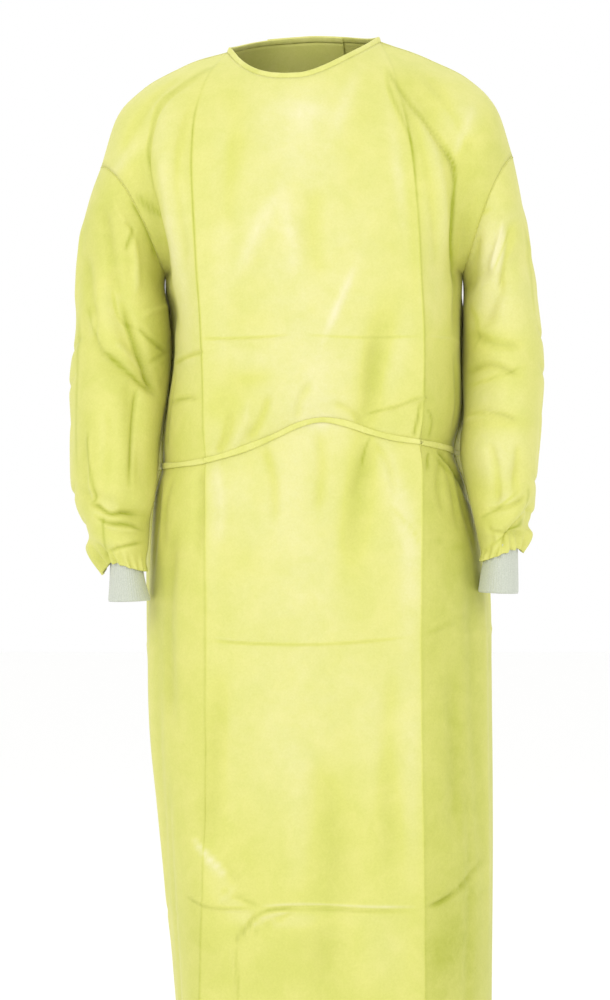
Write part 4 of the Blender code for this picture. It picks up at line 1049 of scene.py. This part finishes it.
def knit_cuff(side, finish):
    """A rib-knitted cuff: upright ribs round a tube that widens below the sleeve's end."""
    outer_x, outer_z, inner_x, inner_z, y = np.array(SLEEVES[side][-1][:5]) / 1000
    middle = np.array([(outer_x + inner_x) / 2, y, (outer_z + inner_z) / 2])
    slanted = unit(np.array([outer_x - inner_x, 0, outer_z - inner_z]))
    level = np.array([np.sign(outer_x), 0, 0])
    phi = circle(CUFF_RIBS * CUFF_RIB_POINTS)[:, None]
    table = np.array(CUFF_RINGS[side]) / 1000
    below = np.linspace(table[-1, 0], table[0, 0], CUFF_ROWS)
    sizes = spline(table, below)
    rings = []
    for low, (aside, slant, half_width, half_depth) in zip(below, sizes):
        across_x = unit(level + (slanted - level) * slant)
        rib = CUFF_RIB_DEPTH * (abs(np.cos(CUFF_RIBS * phi / 2)) ** CUFF_RIB_POWER - 1)
        edge = CUFF_EDGE_ROUND * (1 - min(1.0, (table[-1, 0] - low) / CUFF_EDGE_HEIGHT)) ** 2
        spoke = across_x * np.cos(phi) * (half_width + rib - edge)
        spoke = spoke - np.array([0, 1, 0]) * np.sin(phi) * (half_depth + rib - edge)
        rings.append(middle + np.array([aside, 0, -low]) + spoke)
    name = f"knit_cuff_{side}"
    made = shell(name, np.array(rings), finish, True, side == "left", thick=CUFF_WALL)
    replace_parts(made, f"cuff_{side}")
    wide, deep = sizes[0][2:]
    return made, math.pi * (wide + deep), table[-1, 0] - table[0, 0]


def seam_line(name, points, finish, ups=UP, closed=False):
    """A narrow overlocked seam along points, standing a little proud of the cloth."""
    tangent = ring_tangent(points) if closed else np.gradient(points, axis=0)
    up = across(ups, tangent)
    out = unit(np.cross(up, tangent))
    angle = circle(SEAM_SIDES)[None, :, None]
    rings = points[:, None] + SEAM_RADIUS * (np.cos(angle) * up[:, None] + np.sin(angle) * out[:, None])
    return strip(name, rings, finish, closed)


def neck_frames(front, front_out, under, under_out, over, over_out):
    """Points, up directions and outward directions along the neckline, right back edge to left."""
    columns = panel_columns(-1, 1)
    neck = np.flatnonzero(abs(columns) < CREASE_AT + NEAR)
    first, last = neck[0], neck[-1]
    over_start = len(columns) - over.shape[1]
    parts = []
    for grid, out, picked in (
        (under, under_out, range(under.shape[1] - 1, first - 1, -1)),
        (front, front_out, range(first, last + 1)),
        (over, over_out, range(last - over_start, -1, -1)),
    ):
        parts.append((grid[-1, picked], grid[-1, picked] - grid[-3, picked], out[-1, picked]))
    points, ups, outs = (list(part) for part in parts[0])
    for part in parts[1:]:
        points[-1] = (points[-1] + part[0][0]) / 2
        points += list(part[0][1:])
        ups += list(part[1][1:])
        outs += list(part[2][1:])
    ups, outs = np.array(ups), np.array(outs)
    for _ in range(NECK_SMOOTHING):
        ups = unit(ups)
        ups[1:-1] = (ups[:-2] + 2 * ups[1:-1] + ups[2:]) / 4
        outs[1:-1] = (outs[:-2] + 2 * outs[1:-1] + outs[2:]) / 4
    return np.array(points), ups, outs


def neck_binding(frames, finish):
    """The folded binding along the neckline, rounded at its top, with small puckers."""
    points, ups, outs = frames
    tangent = np.gradient(points, axis=0)
    up = across(ups, tangent)
    out = unit(np.cross(up, tangent))
    out *= np.sign((out * outs).sum(-1, keepdims=True))
    along = lengths(points)
    pucker = (1 + waves(along, BINDING_PUCKERS))[:, None, None]
    half = BINDING_HEIGHT / 2
    angle = circle(BINDING_SIDES)[None, :, None]
    rise, spread = squared(np.sin(angle), BINDING_POWER), squared(np.cos(angle), BINDING_POWER)
    centre = points + up * half - out * (WALL / 2)
    rings = centre[:, None] + half * rise * up[:, None] + BINDING_THICK / 2 * spread * pucker * out[:, None]
    made = strip("binding_neck", rings, finish)
    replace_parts(made, "neck_binding")
    return made, along[-1]


def neck_patch(under, under_out, columns, finish):
    """The hook-and-loop patch between the lapped backs, just below the neckline."""
    up = np.linspace(0, 1, UPPER_ROWS + 1)[1:]
    rows = np.flatnonzero((up > PATCH_FROM) & (up < PATCH_TO)) + len(under) - UPPER_ROWS
    picked = np.ix_(rows, np.flatnonzero(abs(columns) < PATCH_REACH + NEAR))
    face = under[picked] + PATCH_OUT * under_out[picked]
    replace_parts(shell("neck_patch", face, finish, flip=True, thick=PATCH_THICK), "neck_tab")


def belt_path(front, front_out, under, under_out, over, over_out):
    """The belt's centre line round the waist and the outward way along it."""
    heights = row_heights()
    row = int(np.argmin(abs(heights - BELT_Z)))
    columns = panel_columns(-1, 1)
    over_start = len(columns) - over.shape[1]
    climb = LAP_RISE * ease((columns + LAP_EDGE + LAP_CLIMB) / LAP_CLIMB)
    points, outs = list(front[row]), list(front_out[row])
    for j in range(len(columns) - 2, 0, -1):
        if j >= over_start:
            points.append(over[row, j - over_start])
            outs.append(over_out[row, j - over_start])
        else:
            points.append(under[row, j] + climb[j] * under_out[row, j])
            outs.append(under_out[row, j])
    return np.array(points), np.array(outs)


def belt_strip(points, outs, finish):
    """The waist tie: a folded strip lying on the cloth, its width and tilt changing a little."""
    out = outs
    for _ in range(BELT_SMOOTHING):
        out = (np.roll(out, 1, axis=0) + 2 * out + np.roll(out, -1, axis=0)) / 4
    tangent = ring_tangent(points)
    out = across(out, tangent)
    up = unit(np.cross(tangent, out))
    up *= np.sign(up[:, 2:3])
    along = lengths(points)
    phase = 2 * math.pi * along / along[-1]
    half = BELT_WIDTH / 2 * (1 + waves(phase, BELT_WIDTH_WAVES))[:, None, None]
    tilt = waves(phase, BELT_TILT_WAVES)[:, None]
    angle = circle(BELT_SIDES)[None, :, None]
    rise, spread = squared(np.sin(angle), BELT_POWER), squared(np.cos(angle), BELT_POWER)
    centre = points + out * (BELT_THICK / 2 + BELT_CLEAR)
    turned_up = up * np.cos(tilt) + out * np.sin(tilt) * BELT_TILT
    rings = centre[:, None] + half * rise * turned_up[:, None] + BELT_THICK / 2 * spread * out[:, None]
    made = strip("waist_tie", rings, finish, closed=True, flip=True)
    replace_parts(made, "belt")
    return made, along[-1]


def hanging_end(side, over, over_out, finish):
    """A free end of the belt down the back, a folded strip with one soft twist."""
    at_knot, at_tip, tip_z = BELT_ENDS[side]
    heights = row_heights()
    rows = np.flatnonzero((heights < BELT_Z - 2 * BELT_ROW) & (heights >= tip_z - NEAR))[::-1]
    columns = panel_columns(-LAP_EDGE, 1)
    coarse = 2 * CREASE_AT / COARSE_MIDDLE_STEPS
    share = np.linspace(0, 1, len(rows))
    wander, bends = END_WANDER
    places = coarse * (at_knot + (at_tip - at_knot) * share + wander * np.sin(bends * share))
    points, outs = [], []
    for row, j in zip(rows, np.interp(places, columns, np.arange(len(columns)))):
        k = int(j)
        points.append(over[row, k] + (over[row, k + 1] - over[row, k]) * (j - k))
        outs.append(over_out[row, k])
    points = np.array(points)
    tangent = np.gradient(points, axis=0)
    out = across(np.array(outs), tangent)
    wide = unit(np.cross(tangent, out))
    twist, twists = END_TWIST
    turn = (twist * np.sin(math.pi * share) * np.sin(twists * share))[:, None]
    full = END_START + (1 - END_START) * ease(share / END_START_REACH)
    half = END_FULLNESS * BELT_WIDTH / 2 * full[:, None, None]
    angle = circle(BELT_SIDES)[None, :, None]
    flat = wide * np.cos(turn) + out * np.sin(turn)
    centre = points + out * (END_THICK / 2 + BELT_CLEAR + abs(np.sin(turn)) * BELT_WIDTH / 2)
    rings = centre[:, None] + half * np.cos(angle) * flat[:, None]
    rings = rings + END_THICK / 2 * np.sin(angle) * out[:, None]
    made = strip(f"tie_end_{side}", rings, finish, flip=True)
    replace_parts(made, f"belt_end_{side}")
    return made, lengths(points)[-1]


def tie_knot(finish):
    """The knot behind: one tight turn of the strip round a small core."""
    low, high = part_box("belt_knot")
    low, high = np.array(low), np.array(high)
    turns, around = KNOT_TURNS
    u, v = np.meshgrid(circle(turns), np.linspace(0, math.pi, around))
    deep, shallow = KNOT_WRAPS
    wrap = 1 + deep * np.cos(5 * v + 2 * np.sin(u)) + shallow * np.sin(3 * u + 4 * v)
    ball = np.stack([np.sin(v) * np.cos(u), np.sin(v) * np.sin(u), np.cos(v)], axis=-1)
    points = (low + high) / 2 + KNOT_FILL * (high - low) / 2 * wrap[..., None] * ball
    points[0], points[-1] = points[0].mean(axis=0), points[-1].mean(axis=0)
    rows = around - 2
    body = points[1:-1].reshape(-1, 3)
    faces = grid_faces(rows, turns, True, True)
    top, bottom = len(body), len(body) + 1
    for j in range(turns):
        k = (j + 1) % turns
        faces.append((top, j, k))
        faces.append((bottom, (rows - 1) * turns + k, (rows - 1) * turns + j))
    made = new_object("tie_knot", np.vstack([body, points[0, 0], points[-1, 0]]), faces, finish)
    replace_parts(made, "belt_knot")
    return made


def set_inputs(made, **inputs):
    """Values for a node's inputs, by name."""
    for key, value in inputs.items():
        made.inputs[key.replace("_", " ")].default_value = value
    return made


def node(tree, kind, **inputs):
    """A shader node with its inputs set by name."""
    return set_inputs(tree.nodes.new(kind), **inputs)


def principled(name, **inputs):
    """A new material, its node tree and its shader with the inputs set by name."""
    made = bpy.data.materials.new(name)
    made.use_nodes = True
    return made, made.node_tree, set_inputs(made.node_tree.nodes["Principled BSDF"], **inputs)


def blend_of(tree, share, first, second, kind="MIX"):
    """A colour between two others; each is a value or a socket."""
    made = tree.nodes.new("ShaderNodeMix")
    made.data_type = "RGBA"
    made.blend_type = kind
    for key, value in (("Factor", share), (6, first), (7, second)):
        socket = made.inputs[key]
        if isinstance(value, (tuple, float)):
            socket.default_value = value
        else:
            tree.links.new(value, socket)
    return made.outputs[2]


def ramp(tree, source, low, high, to=(0.0, 1.0), kind="SMOOTHSTEP"):
    """A number between the two in to, and no further, as the source goes from low to high."""
    made = node(tree, "ShaderNodeMapRange", From_Min=low, From_Max=high, To_Min=to[0], To_Max=to[1])
    made.interpolation_type = kind
    tree.links.new(source, made.inputs["Value"])
    return made.outputs["Result"]


def bump(tree, height, strength, distance, under=None):
    """A bump from a height, laid over the one under it, if any."""
    made = node(tree, "ShaderNodeBump", Strength=strength, Distance=distance)
    tree.links.new(height, made.inputs["Height"])
    if under is not None:
        tree.links.new(under, made.inputs["Normal"])
    return made.outputs["Normal"]


def nonwoven(name, base, thin, pale, deep):
    """Spunbond nonwoven: cloudy fibre density, fine fibres, a small pressed dot pattern, and the tone's
    painted light and shade.
    """
    made, tree, shader = principled(
        name, Roughness=0.62, Sheen_Weight=0.25, Sheen_Roughness=0.5, Sheen_Tint=PALE_AND_HIGHLIGHT,
        Specular_IOR_Level=0.35,
    )
    place = tree.nodes.new("ShaderNodeTexCoord").outputs["Object"]

    def noise(scale, detail, roughness=0.6, distortion=0.0):
        pattern = node(tree, "ShaderNodeTexNoise", Scale=scale, Detail=detail, Roughness=roughness,
                       Distortion=distortion)
        tree.links.new(place, pattern.inputs["Vector"])
        return pattern.outputs["Fac"]

    tone = tree.nodes.new("ShaderNodeAttribute")
    tone.attribute_name = "tone"
    patches = noise(BREAK_SCALE, 5.0, 0.65, 0.3)
    uneven = ramp(tree, patches, 0.0, 1.0, (1 - TONE_BREAK, 1 + TONE_BREAK), "LINEAR")
    broken = tree.nodes.new("ShaderNodeMath")
    broken.operation = "MULTIPLY"
    tree.links.new(tone.outputs["Fac"], broken.inputs[0])
    tree.links.new(uneven, broken.inputs[1])
    colour = blend_of(tree, ramp(tree, noise(CLOUD_SCALE, 6.0, 0.65, 0.4), 0.30, 0.72), thin, base)
    # The tone blends towards the deep colour for painted shade and towards the pale colour for painted
    # highlight, and partly for the cloth lying close or standing off
    for full, other in ((-1.0, deep), (1.0, pale)):
        colour = blend_of(tree, ramp(tree, broken.outputs[0], 0.0, full, kind="LINEAR"), colour, other)
    colour = blend_of(tree, FIBRE_SHARE, colour, noise(FIBRE_SCALE, 3.0, 0.7), "SOFT_LIGHT")
    tree.links.new(colour, shader.inputs["Base Color"])

    dots = node(tree, "ShaderNodeTexVoronoi", Scale=DOT_SCALE, Randomness=0.15)
    tree.links.new(place, dots.inputs["Vector"])
    pressed = bump(tree, ramp(tree, dots.outputs["Distance"], 0.18, 0.42), 0.35, 0.00012)
    tree.links.new(bump(tree, noise(PUCKER_SCALE, 4.0), 0.5, 0.0008, pressed), shader.inputs["Normal"])
    return made


def knitted():
    """Fine off-white rib knit."""
    made, tree, shader = principled("rib_knit", Roughness=0.9, Sheen_Weight=0.4, Sheen_Roughness=0.6)
    place = tree.nodes.new("ShaderNodeTexCoord").outputs["Object"]
    yarn = node(tree, "ShaderNodeTexNoise", Scale=KNIT_SCALE, Detail=3.0, Roughness=0.6)
    rows = node(tree, "ShaderNodeTexWave", Scale=KNIT_ROWS, Distortion=1.5, Detail=2.0)
    rows.bands_direction = "Z"
    for pattern in (yarn, rows):
        tree.links.new(place, pattern.inputs["Vector"])
    shade = blend_of(tree, ramp(tree, yarn.outputs["Fac"], 0.3, 0.7), KNIT_SHADE, KNIT)
    tree.links.new(shade, shader.inputs["Base Color"])
    tree.links.new(bump(tree, rows.outputs["Fac"], 0.5, 0.0003), shader.inputs["Normal"])
    return made


def plain(name, colour, roughness):
    """A plain surface."""
    return principled(name, Base_Color=colour, Roughness=roughness)[0]


def area_light(name, place, size, power):
    """A soft square light at place, turned to LIGHT_TARGET."""
    data = bpy.data.lights.new(name, "AREA")
    data.shape = "SQUARE"
    data.size = size
    data.energy = power
    made = in_scene(name, data)
    made.location = place
    aim = Vector(LIGHT_TARGET) - Vector(place)
    made.rotation_euler = aim.to_track_quat("-Z", "Y").to_euler()


def studio():
    """White floor, even soft light and the camera at the photo's angle and framing."""
    mesh = bpy.data.meshes.new("floor")
    corners = [(x * FLOOR_HALF, y * FLOOR_HALF, FLOOR_Z) for x, y in ((-1, -1), (1, -1), (1, 1), (-1, 1))]
    mesh.from_pydata(corners, [], [(0, 1, 2, 3)])
    mesh.materials.append(plain("studio_floor", FLOOR_COLOUR, 0.9))
    in_scene("floor", mesh)

    world = bpy.data.worlds.new("studio")
    bpy.context.scene.world = world
    world.use_nodes = True
    set_inputs(world.node_tree.nodes["Background"], Color=(1.0, 1.0, 1.0, 1.0), Strength=WORLD_LIGHT)
    for light in LIGHTS:
        area_light(*light)

    data = bpy.data.cameras.new("camera")
    data.sensor_fit = "VERTICAL"
    data.sensor_height = SENSOR
    data.lens = SENSOR * CAMERA_DISTANCE / FRAME_HEIGHT
    camera = in_scene("camera", data)
    camera.location = (CAMERA_X, -CAMERA_DISTANCE, CAMERA_Z)
    camera.rotation_euler = (math.pi / 2, 0, 0)
    bpy.context.scene.camera = camera
    bpy.context.scene.view_settings.view_transform = "Standard"


def main():
    """The studio, the materials, the cloth of body and sleeves, and what is sewn on."""
    studio()
    cloth = nonwoven("nonwoven", LIME, THIN, PALE_AND_HIGHLIGHT, DEEP_AND_SHADE)
    folded = nonwoven("folded_nonwoven", STRIP, STRIP_THIN, PALE_AND_HIGHLIGHT, DEEP_AND_SHADE)
    seam = nonwoven("seam_nonwoven", SEAM, THIN, PALE_AND_HIGHLIGHT, DEEP_AND_SHADE)
    knit = knitted()

    every = panel_columns(-1, 1)
    front, front_out, front_tone = body_shell("front", every)
    back, back_out, back_tone = body_shell("back", every)
    # The right back panel ends at LAP_EDGE, below the left one, which is moved out over it
    under_keep = every < LAP_EDGE + NEAR
    over_keep = every > -LAP_EDGE - NEAR
    under, under_out = back[:, under_keep], back_out[:, under_keep]
    over = back[:, over_keep] + back_out[:, over_keep] * lap_rise(every[over_keep])[:, None]
    over_out = back_out[:, over_keep]

    front_piece = shell("front_cloth", front, cloth, tone=front_tone)
    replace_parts(front_piece, "front_panel")
    right_piece = shell("back_right_cloth", under, cloth, flip=True, tone=back_tone[:, under_keep])
    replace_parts(right_piece, "back_right")
    left_piece = shell("back_left_cloth", over, cloth, flip=True, tone=back_tone[:, over_keep])
    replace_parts(left_piece, "back_left")

    for side in ("right", "left"):
        grid, out, tone = sleeve_shell(side)
        made = shell(f"sleeve_{side}_cloth", grid, cloth, True, side == "left", tone)
        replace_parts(made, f"sleeve_{side}")
        cuff_piece, cuff_around, cuff_long = knit_cuff(side, knit)
        seam_line(f"armhole_seam_{side}", grid[-1] + out[-1] * SEAM_RADIUS * SEAM_OUT, seam, closed=True)

    frames = neck_frames(front, front_out, under, under_out, over, over_out)
    binding, neck_long = neck_binding(frames, folded)

    points, outs = belt_path(front, front_out, under, under_out, over, over_out)
    tie, tie_long = belt_strip(points, outs, folded)
    tie_knot(folded)
    for side in BELT_ENDS:
        made, long = hanging_end(side, over, over_out, folded)

    lower = len(row_heights())
    for side, column, sign in (("right", 0, -1), ("left", -1, 1)):
        seam_line(f"side_seam_{side}", front[:lower, column], seam, front_out[:lower, column])
        picked = np.flatnonzero(sign * every > CREASE_AT - NEAR)
        seam_line(f"shoulder_seam_{side}", front[-1, picked], seam, front_out[-1, picked])

    neck_patch(under, under_out, every[under_keep], plain("hook_and_loop", FELT, 0.95))


main()
